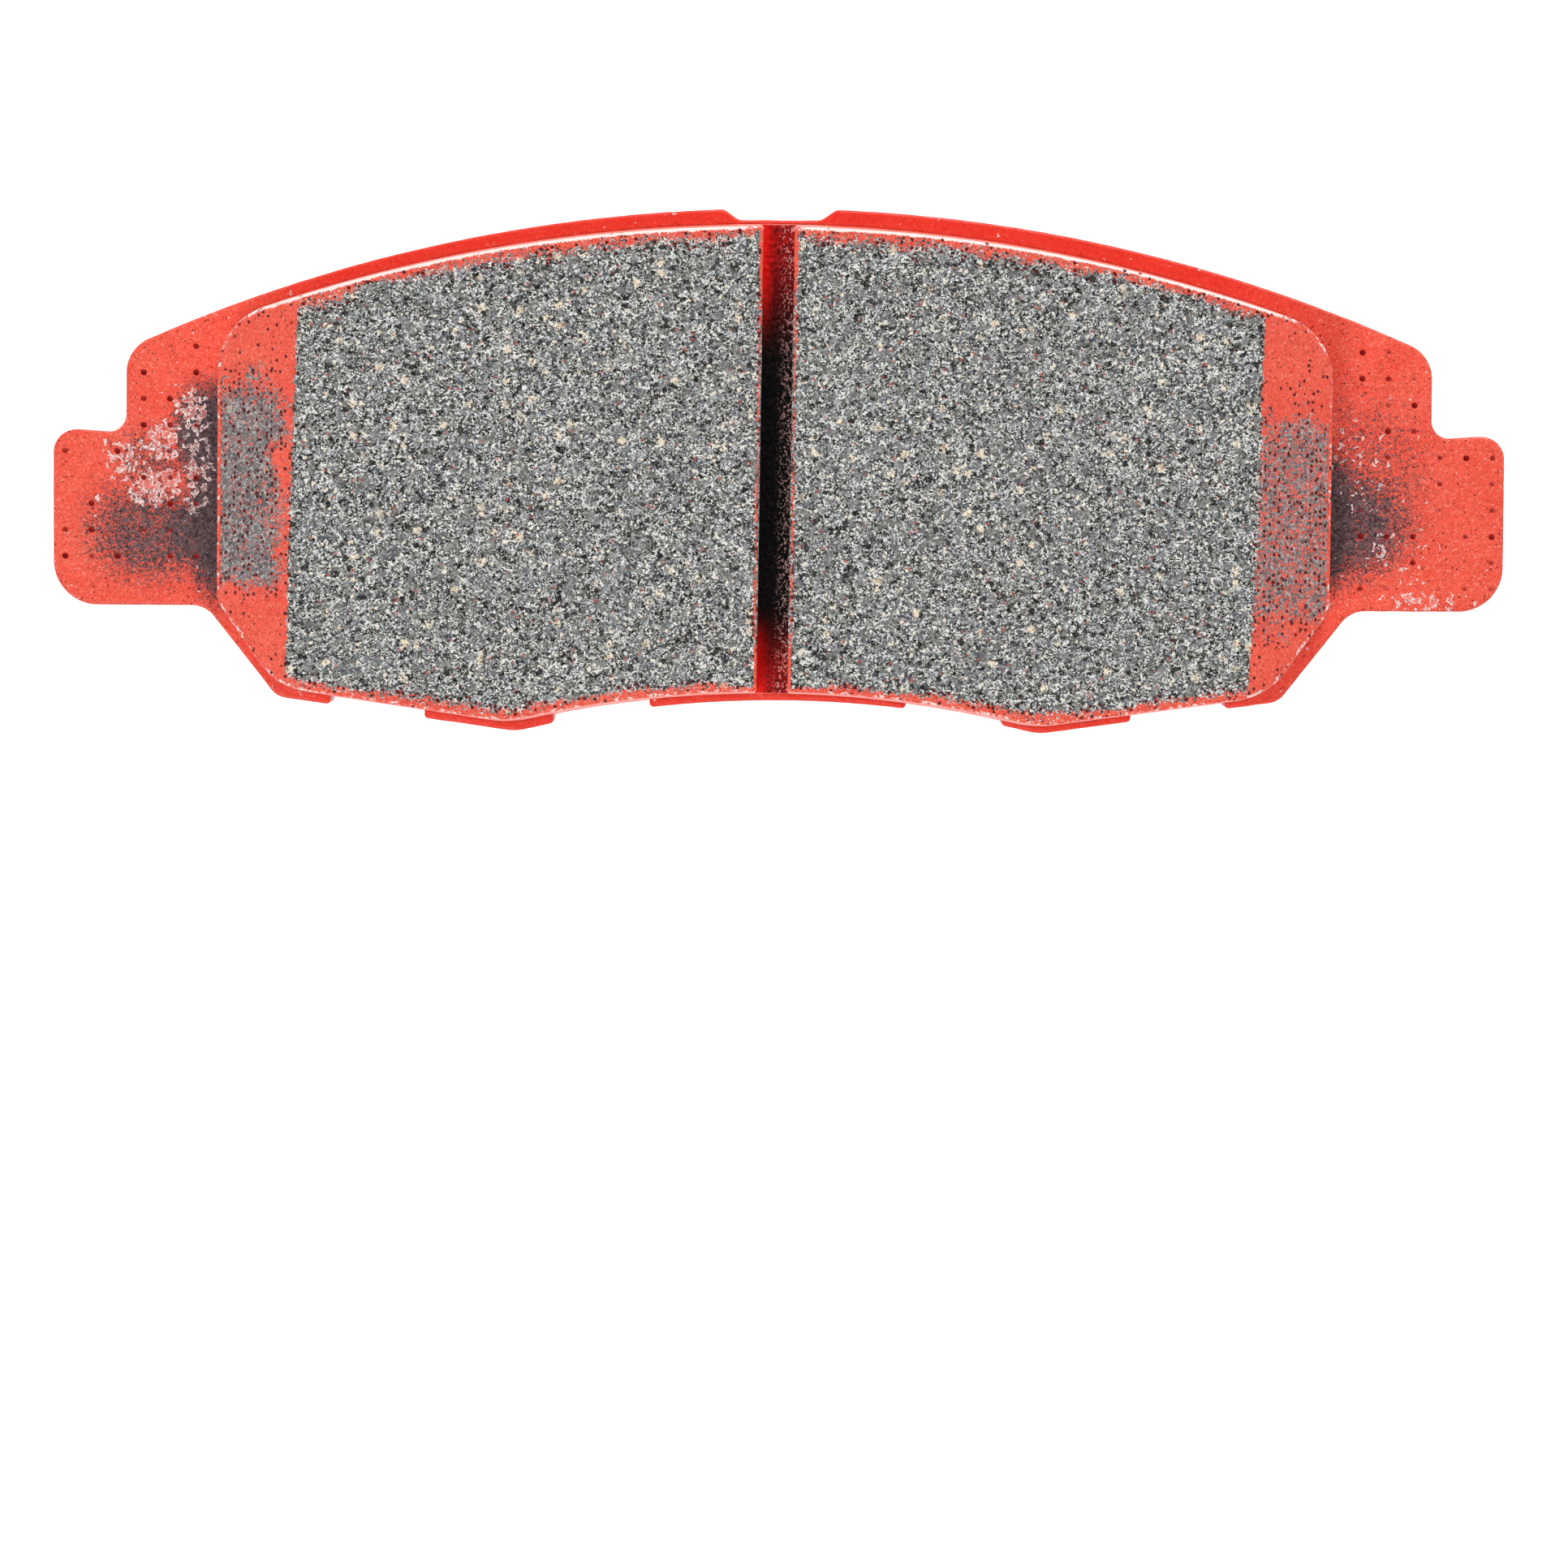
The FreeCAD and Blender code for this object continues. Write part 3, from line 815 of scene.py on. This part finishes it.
# How far the coat's ragged rim reaches onto the ground face from each kind of edge, how much of
# the edge itself is chipped white and carries a painted highlight, and how gently that changes from one
# edge to the next.
RIM_WIDTH = {"arched": 1.7, "lower": 1.3, "end": 0.5, "sawn": 0.3}
LIP_CHIP_HIGHLIGHT_STRENGTH = {"arched": 0.95, "lower": 0.38, "end": 0.32, "sawn": 0.0}
LIP_CHIP_HIGHLIGHT_FADE_PASSES = 40
RIM_UNEVENNESS = 0.7
RIM_UNEVEN_SIZE = 5.0
RIM_FADE = 1.2
RIM_COVER = 0.7
SAWN_TOP_COVER = 0.55
# Shares of a wall's rings above which the top of a sawn wall is coated, and the edge is chipped and carries
# a painted highlight.
SAWN_TOP_START = 0.93
LIP_CHIP_HIGHLIGHT_START = 0.84

# The coat starts at the crest of each end slope, and is worn thin in a band across it: where the
# band begins and ends along y at each end, and how far out the left one begins.
CREST_COAT = (-0.25, 0.3)
GROUND_SLOPE = (0.1, 0.6)
WORN_BANDS = {-1: ((-15.5, -9.5), (6.0, 13.0)), 1: ((-18.5, -12.5), (3.5, 9.5))}
WORN_LEFT_X = (49.5, 53.0)
WORN_LEFT_LEAST = 0.3
WORN_RIGHT_MOST = 0.8
WORN_AWAY = 0.74
WORN_DRIFT = 2.0
WORN_DRIFT_SIZE = 3.0


def ground_relief(points, coated):
    """How far the ground surface lies below its plane: fine grain and a few plucked-out grains."""
    grain = GRAIN_DEPTH * (0.5 + 0.5 * np.clip(wobble(points, GRAIN_SIZE, seed=6, octaves=3), -1, 1))
    pluck = np.zeros(len(points))
    for index, point in enumerate(points):
        gaps, centres = noise.voronoi(Vector(point) / PLUCK_SPACING)
        if noise.cell(centres[0] * PLUCK_DRAW) < PLUCK_SHARE:
            pluck[index] = max(0.0, 1 - gaps[0] / PLUCK_RADIUS)
    return grain * (1 - 0.5 * coated) + PLUCK_DEPTH * np.minimum(1, PLUCK_STEEPNESS * pluck)


def worn_away(points, side):
    """How far the end slope's coat is worn away: most in a band across its middle."""
    drift = WORN_DRIFT * wobble(raised(points, 0), WORN_DRIFT_SIZE, seed=8, octaves=3)
    start, stop = WORN_BANDS[side]
    band = ramp(points[:, 1] + drift, *start) * (1 - ramp(points[:, 1] + drift, *stop))
    if side > 0:
        return WORN_AWAY * WORN_RIGHT_MOST * band
    outwards = ramp(drift - points[:, 0], *WORN_LEFT_X)
    return WORN_AWAY * band * (WORN_LEFT_LEAST + (1 - WORN_LEFT_LEAST) * outwards)


def face_coat(points, depth, index, kinds, side):
    """How well the coat covers a block's ground surface: the end slope and a ragged rim."""
    width = np.array([RIM_WIDTH[kind] for kind in kinds])[index]
    uneven = 1 + RIM_UNEVENNESS * wobble(raised(points, 0), RIM_UNEVEN_SIZE, seed=9)
    rim = 1 - ramp(depth / (width * uneven), 0.0, RIM_FADE)
    beyond_crest = PAD_FACE - chamfer_height(points, side)
    slope = ramp(beyond_crest, *CREST_COAT) * (1 - worn_away(points, side))
    return np.maximum(rim * RIM_COVER, slope)


def block_edge_kinds(side):
    """What each corner round and edge of a block's outline belongs to."""
    right = ["sawn", "arched", *["end"] * 3, *["lower"] * 5, "sawn", "sawn"]
    left = ["sawn", *["lower"] * 5, *["end"] * 3, "arched", "sawn", "sawn"]
    return np.array(right if side > 0 else left)


def block_rings(outline, side):
    """Rings up a block's drafted walls and over the worn edge of its ground top."""
    foot, inward = outline.ring(draft_inset(UNDERLAYER_TOP))
    head, _ = outline.ring(draft_inset(PAD_FACE))
    wall_height = PAD_FACE - UNDERLAYER_TOP

    def wall_at(height):
        share = (height - UNDERLAYER_TOP) / wall_height
        return foot + (head - foot) * np.reshape(share, (-1, 1))

    top = np.full(len(foot), PAD_FACE)
    for _ in range(3):
        top = ground_height(wall_at(top), side)
    round_start = top - FACE_EDGE_RADIUS
    rings = []
    for share in np.linspace(0, 1, BLOCK_WALL_RINGS):
        height = UNDERLAYER_TOP + (round_start - UNDERLAYER_TOP) * share
        rings.append(lumpy(wall_at(height), inward, height))
    crest = wall_at(top)
    chips = np.clip(wobble(raised(crest, top), CHIP_SIZE, seed=7, octaves=3), 0, 1)
    for angle in np.radians(FACE_BREAK_STEPS):
        inset = FACE_EDGE_RADIUS * (1 - math.cos(angle)) * (1 + CHIP_SHARE * chips) + COAT_LUMP_DEPTH / 2
        plan = crest + inward * inset[:, None]
        level = np.minimum(ground_height(plan, side), top)
        rings.append(raised(plan, level - FACE_EDGE_RADIUS * (1 - math.sin(angle))))
    return rings, inward


def wall_coat(rings, kinds):
    """How well the coat covers each point of a block's walls."""
    sawn = kinds == "sawn"
    wall = np.where(sawn, slot_coat(rings[0]), 1.0)
    top = np.maximum(wall, np.where(sawn, SAWN_TOP_COVER, 1.0))
    shares = np.linspace(0, 1, len(rings))
    return np.concatenate([top if share > SAWN_TOP_START else wall for share in shares])


def wall_chips_and_highlight(rings, kinds):
    """How strongly each point of a block's walls is chipped white and carries a painted highlight: only
    near the top edge.
    """
    strength = np.array([LIP_CHIP_HIGHLIGHT_STRENGTH[kind] for kind in kinds])
    for _ in range(LIP_CHIP_HIGHLIGHT_FADE_PASSES):
        strength = (np.roll(strength, 1) + strength + np.roll(strength, -1)) / 3
    shares = np.linspace(0, 1, len(rings))
    return np.concatenate([strength * (share > LIP_CHIP_HIGHLIGHT_START) for share in shares])


def friction_piece(name, side):
    """One block of friction material: coated drafted walls, a bare ground face and a sloped end."""
    outline = block_outline(side)
    kinds = np.repeat(block_edge_kinds(side), outline.counts)
    rings, inward = block_rings(outline, side)
    rim = Rim(rings[-1][:, :2], inward)
    inside = lattice(rim.ring.min(0), rim.ring.max(0), GRAIN_STEP)
    inside = inside[rim.depth(inside) > 0.6 * GRAIN_STEP]
    index, depth = rim.nearest(inside)
    coat = face_coat(inside, depth, index, kinds, side)
    relief = ground_relief(raised(inside, 0), coat) * ramp(depth, *RELIEF_FADE)
    surface = raised(inside, ground_height(inside, side) - relief)
    hidden = hidden_points(rings[0], inward, UNDERLAYER_TOP)
    piece, points = closed_skin(name, rings, surface, hidden)
    set_amount(piece, "coat", np.concatenate([wall_coat(rings, kinds), coat, np.ones(len(hidden))]))
    set_amount(piece, "slope", ramp(PAD_FACE - chamfer_height(points, side), *GROUND_SLOPE))
    off_walls = np.zeros(len(coat) + len(hidden))
    # The walls' top edges get chipped coat and a painted highlight.
    set_amount(piece, "lip_chip_highlight", np.concatenate([wall_chips_and_highlight(rings, kinds), off_walls]))
    return piece


def rgb(red, green, blue):
    """A colour given in display values of 0 to 255, as the renderer's linear colour."""
    return tuple(
        value / 255 / 12.92 if value <= 10 else ((value / 255 + 0.055) / 1.055) ** 2.4
        for value in (red, green, blue)
    ) + (1.0,)


# How much clear reflection the surfaces have: half of the shader's usual amount.
SPECULAR = 0.25


class Paint:
    """One material's node tree. Each method adds nodes and returns the socket with its result."""

    def __init__(self, name):
        self.material = bpy.data.materials.new(name)
        self.material.use_nodes = True
        self.tree = self.material.node_tree
        self.shader = self.tree.nodes["Principled BSDF"]
        self.place = self.add("ShaderNodeTexCoord").outputs["Object"]

    def add(self, kind, **settings):
        node = self.tree.nodes.new(kind)
        for name, value in settings.items():
            setattr(node, name, value)
        return node

    def feed(self, node, **inputs):
        """Sets inputs by identifier: a socket is linked, and anything else is its plain value."""
        for socket in node.inputs:
            value = inputs.get(socket.identifier.replace(" ", "_"))
            if isinstance(value, bpy.types.NodeSocket):
                self.tree.links.new(value, socket)
            elif value is not None:
                socket.default_value = value
        return node

    def result(self, node, kind):
        return next(socket for socket in node.outputs if socket.identifier == f"Result_{kind}")

    def amount(self, name):
        """A number stored on the mesh by set_amount."""
        return self.add("ShaderNodeAttribute", attribute_name=name).outputs["Fac"]

    def seeded(self, seed, stretch=(1.0, 1.0, 1.0)):
        """The place on the object, moved far enough that each seed gives a different pattern."""
        node = self.add("ShaderNodeMapping")
        self.feed(node, Vector=self.place, Location=(0.17 * seed, 0.11 * seed, 0.05 * seed), Scale=stretch)
        return node.outputs[0]

    def clouds(self, size, seed, detail=2.0, roughness=0.5, distortion=0.0, stretch=(1.0, 1.0, 1.0)):
        """Smooth noise, spread to fill 0 to 1, with features of this size in millimetres."""
        node = self.add("ShaderNodeTexNoise")
        self.feed(node, Vector=self.seeded(seed, stretch), Scale=1 / (size * MM), Detail=detail,
                  Roughness=roughness, Distortion=distortion)
        spread = self.add("ShaderNodeMapRange")
        return self.feed(spread, Value=node.outputs[0], From_Min=0.25, From_Max=0.75).outputs[0]

    def cells(self, size, seed, stretch=(1.0, 1.0, 1.0)):
        """Packed cells of this size: a random number for each, and the distance from its middle."""
        node = self.add("ShaderNodeTexVoronoi")
        self.feed(node, Vector=self.seeded(seed, stretch), Scale=1 / (size * MM))
        split = self.feed(self.add("ShaderNodeSeparateColor"), Color=node.outputs["Color"])
        return split.outputs[0], node.outputs["Distance"]

    def sum(self, *terms):
        """Adds (socket, weight) pairs."""
        total = 0.0
        for socket, weight in terms:
            node = self.add("ShaderNodeMath", operation="MULTIPLY_ADD")
            total = self.feed(node, Value=socket, Value_001=weight, Value_002=total).outputs[0]
        return total

    def product(self, *factors):
        total = factors[0]
        for factor in factors[1:]:
            node = self.add("ShaderNodeMath", operation="MULTIPLY")
            total = self.feed(node, Value=total, Value_001=factor).outputs[0]
        return total

    def rise(self, value, low, high, least=0.0, most=1.0):
        """Smooth step: least at low, most at high."""
        node = self.add("ShaderNodeMapRange", interpolation_type="SMOOTHSTEP")
        self.feed(node, Value=value, From_Min=low, From_Max=high, To_Min=least, To_Max=most)
        return node.outputs[0]

    def ragged(self, amount, size, seed, spread, soft=0.1):
        """Where an amount of 0 to 1 wins over grains of this size, so that its border is broken up."""
        grains, _ = self.cells(size, seed)
        drifts = self.clouds(size * 4, seed, detail=3, roughness=0.6)
        noisy = self.sum((amount, 1.0), (grains, 0.6 * spread), (drifts, 0.4 * spread))
        middle = 0.5 + 0.5 * spread
        return self.rise(noisy, middle - soft, middle + soft)

    def blend(self, share, under, over):
        """A colour between two colours."""
        node = self.add("ShaderNodeMix", data_type="RGBA")
        return self.result(self.feed(node, Factor_Float=share, A_Color=under, B_Color=over), "Color")

    def mix(self, share, under, over):
        """A number between two numbers."""
        node = self.add("ShaderNodeMix", data_type="FLOAT")
        return self.result(self.feed(node, Factor_Float=share, A_Float=under, B_Float=over), "Float")

    def shades(self, value, *stops):
        """A colour ramp of (position, colour) stops."""
        node = self.add("ShaderNodeValToRGB")
        elements = node.color_ramp.elements
        while len(elements) < len(stops):
            elements.new(0.5)
        for element, (position, colour) in zip(elements, stops):
            element.position, element.color = position, colour
        return self.feed(node, Fac=value).outputs[0]

    def finish(self, colour, roughness, height, depth):
        """Joins colour, roughness and a relief of this depth in millimetres to the shader."""
        bump = self.feed(self.add("ShaderNodeBump"), Height=height, Distance=depth * MM)
        self.feed(self.shader, Base_Color=colour, Roughness=roughness, Normal=bump.outputs[0],
                  Specular_IOR_Level=SPECULAR)
        return self.material


COAT_RED = rgb(244, 86, 66)
COAT_BRIGHT = rgb(252, 102, 80)
COAT_RICH = rgb(240, 50, 34)
COAT_DEEP = rgb(176, 30, 22)
# Pale flecks of the coat, partly painted glints.
COAT_PALE_GLINT = rgb(255, 190, 170)
COAT_SHADE = rgb(96, 22, 20)
# Pale edge colour: chipped coat, with a painted highlight on top of it.
COAT_CHIP_AND_HIGHLIGHT = rgb(255, 232, 226)


def coat_layer(paint):
    """Red powder coat: orange peel with dark flecks, and pale flecks that are partly painted glints.
    Returns colour, roughness and height.
    """
    drift = paint.clouds(5.0, seed=1, detail=3)
    peel = paint.clouds(0.5, seed=2)
    fleck_and_glint, _ = paint.cells(0.16, seed=3)
    colour = paint.blend(drift, COAT_RED, COAT_BRIGHT)
    colour = paint.blend(paint.rise(fleck_and_glint, 0.40, 0.0, most=0.45), colour, COAT_DEEP)
    # Pale flecks: partly the coat's own pale specks, partly painted glints off its gloss.
    colour = paint.blend(paint.rise(fleck_and_glint, 0.80, 1.0, most=0.3), colour, COAT_PALE_GLINT)
    colour = paint.blend(paint.rise(fleck_and_glint, 0.012, 0.008, most=0.8), colour, COAT_SHADE)
    return colour, paint.mix(fleck_and_glint, 0.42, 0.30), paint.sum((peel, 1.0), (fleck_and_glint, 0.25))


STONE_DARK = rgb(16, 16, 16)
STONE_GREY = rgb(110, 109, 106)
STONE_LIGHT = rgb(244, 244, 240)
GROUND_GREY = rgb(124, 116, 118)
STONE_COOL = rgb(136, 144, 154)
STONE_TAN = rgb(208, 190, 164)
STONE_BEIGE = rgb(255, 242, 220)
STONE_RUST = rgb(190, 84, 66)


def stone_layer(paint):
    """Friction material: packed mineral grains in every grey, with flakes and a few coloured specks."""
    dust, _ = paint.cells(0.135, seed=4)
    grains, _ = paint.cells(0.3, seed=5)
    flakes, _ = paint.cells(0.6, seed=6, stretch=(1.0, 1.6, 1.0))
    patches = paint.clouds(1.6, seed=7, detail=3, roughness=0.6)
    calm = paint.rise(paint.clouds(0.9, seed=27, detail=2), 0.55, 0.8, most=0.75)
    value = paint.mix(calm, paint.sum((dust, 0.54), (grains, 0.28), (flakes, 0.08), (patches, 0.10)), 0.52)
    colour = paint.shades(value, (0.27, STONE_DARK), (0.5, STONE_GREY), (0.75, STONE_LIGHT))
    tint, _ = paint.cells(0.45, seed=28)
    colour = paint.blend(paint.rise(tint, 0.6, 1.0, most=0.35), colour, STONE_COOL)
    picked, gap = paint.cells(1.3, seed=8)
    near = paint.rise(paint.sum((gap, 1.0), (paint.clouds(0.35, seed=9, detail=3), 0.5)), 0.60, 0.50)
    speck = paint.product(near, paint.rise(picked, 0.89, 0.91), paint.rise(dust, 0.05, 0.2))
    colour = paint.blend(speck, colour, paint.blend(grains, STONE_TAN, STONE_BEIGE))
    bright, _ = paint.cells(0.28, seed=10)
    colour = paint.blend(paint.rise(bright, 0.98, 0.985, most=0.8), colour, STONE_BEIGE)
    colour = paint.blend(paint.rise(bright, 0.010, 0.006, most=0.6), colour, STONE_RUST)
    colour = paint.blend(paint.rise(tint, 0.045, 0.035, most=0.85), colour, STONE_DARK)
    return colour, paint.rise(value, 0.2, 0.9, 0.9, 0.62), value


def coated_stone():
    """The friction blocks: bare stone, with coat where the coat amount and its ragged noise allow."""
    paint = Paint("friction_material")
    coat, stone = coat_layer(paint), stone_layer(paint)
    cover = paint.amount("coat")
    ground = paint.product(paint.amount("slope"), 0.5)
    stone_colour = paint.blend(ground, stone[0], GROUND_GREY)
    mask = paint.ragged(cover, 0.18, seed=11, spread=0.85)
    picked, gap = paint.cells(0.5, seed=12)
    open_share = paint.sum((picked, 1.0), (cover, -0.45), (paint.clouds(3.0, seed=13), 0.3))
    pinhole = paint.product(paint.rise(open_share, 0.56, 0.60), paint.rise(gap, 0.45, 0.30))
    pinhole = paint.product(pinhole, paint.rise(cover, 0.02, 0.12))
    # Painted highlight along the blocks' top edges, together with the chipped coat there.
    chipped_and_lit = paint.ragged(paint.amount("lip_chip_highlight"), 0.3, seed=14, spread=0.8)
    colour = paint.blend(mask, stone_colour, paint.blend(chipped_and_lit, coat[0], COAT_CHIP_AND_HIGHLIGHT))
    colour = paint.blend(pinhole, colour, COAT_SHADE)
    height = paint.sum((paint.mix(mask, stone[2], coat[2]), 1.0), (mask, 0.4), (pinhole, -0.8))
    return paint.finish(colour, paint.mix(mask, stone[1], coat[1]), height, 0.06)


PRIMER_DARK = rgb(46, 38, 42)
PRIMER_LIGHT = rgb(110, 92, 95)
RESIDUE = rgb(255, 240, 236)
PIT_SHADE = rgb(46, 12, 12)


def coated_steel():
    """The plate: red coat, worn to dark primer beside the moulding and crusted with pale residue, with
    painted shade in its pits and on its rim and walls.
    """
    paint = Paint("red_powder_coat")
    colour, roughness, height = coat_layer(paint)
    colour = paint.blend(paint.product(paint.amount("rich_coat"), 0.65), colour, COAT_RICH)
    grains, _ = paint.cells(0.24, seed=15)
    primer = paint.blend(grains, PRIMER_DARK, PRIMER_LIGHT)
    thin = paint.ragged(paint.amount("thin_coat"), 0.13, seed=16, spread=0.8, soft=0.2)
    colour = paint.blend(thin, colour, primer)
    blobs = paint.clouds(0.75, seed=17, detail=3, roughness=0.6, distortion=0.4)
    amount = paint.amount("residue")
    level = paint.sum((blobs, 1.0), (amount, 0.6))
    inside = paint.rise(level, 0.90, 0.94)
    edge = paint.product(inside, paint.rise(level, 1.06, 0.99, least=0.15))
    colour = paint.blend(paint.product(inside, paint.rise(amount, 0.3, 0.8, most=0.4)), colour, COAT_RED)
    crust = paint.product(edge, paint.rise(grains, 0.0, 0.25, least=0.3))
    colour = paint.blend(crust, colour, RESIDUE)
    pit = paint.amount("pit")
    # Painted shade in the pits' hollows.
    colour = paint.blend(paint.rise(pit, 0.2, 0.8), colour, PIT_SHADE)
    # Painted shade: the plate's rolled rim and its side walls are darkened towards deep red.
    colour = paint.blend(paint.rise(paint.amount("front"), 0.99, 0.7, most=0.75), colour, COAT_DEEP)
    height = paint.sum((height, 1.0), (crust, 1.0), (thin, -0.3))
    return paint.finish(colour, paint.mix(thin, roughness, 0.6), height, 0.03)


SLOT_BLACK = rgb(10, 7, 7)
SLOT_RED = rgb(190, 6, 8)
# Painted light in the slot: a brighter red on its left side, and pale lit grit on its right side.
SLOT_GLOW = rgb(255, 14, 8)
SLOT_LIT_GRIT = rgb(240, 190, 182)


def coated_wall():
    """The underlayer: coat on its rim, and grit on the slot's floor, redder at its mouths, with painted
    light: a brighter red on its left side and pale lit grit on its right side.
    """
    paint = Paint("coated_underlayer")
    colour, roughness, height = coat_layer(paint)
    cover = paint.amount("coat")
    grit, _ = paint.cells(0.14, seed=18, stretch=(1.0, 0.7, 1.0))
    floor = paint.blend(cover, SLOT_BLACK, SLOT_RED)
    floor = paint.blend(paint.rise(grit, 0.6, 0.2, most=0.7), floor, SLOT_BLACK)
    across = paint.amount("across")
    # Painted light: a brighter red on the slot's left side where the coat reached, fading towards the
    # middle.
    glow = paint.product(paint.rise(across, 0.42, 0.0, most=0.9), paint.rise(cover, 0.0, 0.6))
    floor = paint.blend(glow, floor, SLOT_GLOW)
    # Painted light: pale lit grit on the slot's right side, hardly any on the left.
    lit = paint.product(paint.rise(grit, 0.64, 0.95), paint.rise(across, 0.45, 0.85, least=0.03))
    floor = paint.blend(lit, floor, SLOT_LIT_GRIT)
    in_slot = paint.amount("slot_floor")
    colour = paint.blend(in_slot, colour, floor)
    height = paint.mix(in_slot, height, paint.sum((grit, 2.0)))
    return paint.finish(colour, paint.mix(in_slot, roughness, 0.7), height, 0.04)


def adhesive_edge():
    """The film's thin edge: deep red coat broken by pinholes."""
    paint = Paint("adhesive_edge")
    blots = paint.clouds(0.8, seed=19, detail=3, roughness=0.6)
    colour = paint.shades(blots, (0.3, COAT_SHADE), (0.6, COAT_DEEP))
    return paint.finish(colour, 0.5, blots, 0.05)


# The camera's place in millimetres, its turns in degrees and its focal length.
CAMERA_PLACE = (0.714, 2.517, 595.5)
CAMERA_PITCH = 3.38
CAMERA_ROLL = 0.311
CAMERA_LENS = 130.9


def add_camera():
    """A long lens looking down on the pad from nearly overhead."""
    data = bpy.data.cameras.new("camera")
    data.lens = CAMERA_LENS
    data.clip_start, data.clip_end = 0.01, 20.0
    camera = bpy.data.objects.new("camera", data)
    pitch = Matrix.Rotation(math.radians(-CAMERA_PITCH), 4, "X")
    roll = Matrix.Rotation(math.radians(CAMERA_ROLL), 4, "Z")
    camera.matrix_world = Matrix.Translation(Vector(CAMERA_PLACE) * MM) @ pitch @ roll
    bpy.context.scene.collection.objects.link(camera)
    bpy.context.scene.camera = camera


WORLD_STRENGTH = 0.42
# Each softbox: name, place and size in metres, and power in watts.
SOFTBOXES = (("key", (-0.24, -0.44, 0.7), 0.3, 3.0), ("back", (0.15, 0.7, 0.4), 0.4, 4.0))
STUDIO_HALF_WIDTH = 3.0
STUDIO_DROP = 0.0002
STUDIO_WHITE = (0.95, 0.95, 0.95, 1)
STUDIO_GLOW = 0.7


def add_softbox(name, place, size, power):
    """A square soft light at a place in metres, aimed at the pad."""
    data = bpy.data.lights.new(name, "AREA")
    data.size, data.energy = size, power
    lamp = bpy.data.objects.new(name, data)
    lamp.location = place
    lamp.rotation_euler = (-Vector(place)).to_track_quat("-Z", "Y").to_euler()
    bpy.context.scene.collection.objects.link(lamp)


def add_studio():
    """A pale floor just under the pad, pale surroundings and soft lights."""
    world = bpy.data.worlds.new("studio")
    world.use_nodes = True
    background = world.node_tree.nodes["Background"]
    background.inputs["Color"].default_value = (1, 1, 1, 1)
    background.inputs["Strength"].default_value = WORLD_STRENGTH
    bpy.context.scene.world = world
    bpy.context.scene.view_settings.view_transform = "Standard"
    for softbox in SOFTBOXES:
        add_softbox(*softbox)
    half = STUDIO_HALF_WIDTH
    corners = [(-half, -half, 0), (half, -half, 0), (half, half, 0), (-half, half, 0)]
    mesh = bpy.data.meshes.new("floor")
    mesh.from_pydata(corners, [], [(0, 1, 2, 3)])
    floor = bpy.data.objects.new("floor", mesh)
    floor.location.z = -STUDIO_DROP
    bpy.context.scene.collection.objects.link(floor)
    paint = Paint("floor")
    paint.feed(paint.shader, Base_Color=STUDIO_WHITE, Roughness=0.9)
    paint.feed(paint.shader, Emission_Color=(1, 1, 1, 1), Emission_Strength=STUDIO_GLOW)
    mesh.materials.append(paint.material)
    floor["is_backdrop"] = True


def build_pad():
    """Every piece of the pad, with its finish."""
    plate = plate_piece()
    plate.data.materials.append(coated_steel())
    stand_for(plate, "backing_plate")
    film = film_piece()
    film.data.materials.append(adhesive_edge())
    stand_for(film, "bonding_film")
    underlayer = underlayer_piece()
    underlayer.data.materials.append(coated_wall())
    stand_for(underlayer, "underlayer")
    stone = coated_stone()
    for side, hand in ((-1, "left"), (1, "right")):
        block = friction_piece(f"friction_{hand}", side)
        block.data.materials.append(stone)
        stand_for(block, f"friction_block_{hand}")


add_camera()
add_studio()
build_pad()

sizes = {"cad": cad_box, "visual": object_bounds()}
{name: [list(corner) for corner in box] for name, box in sizes.items()}
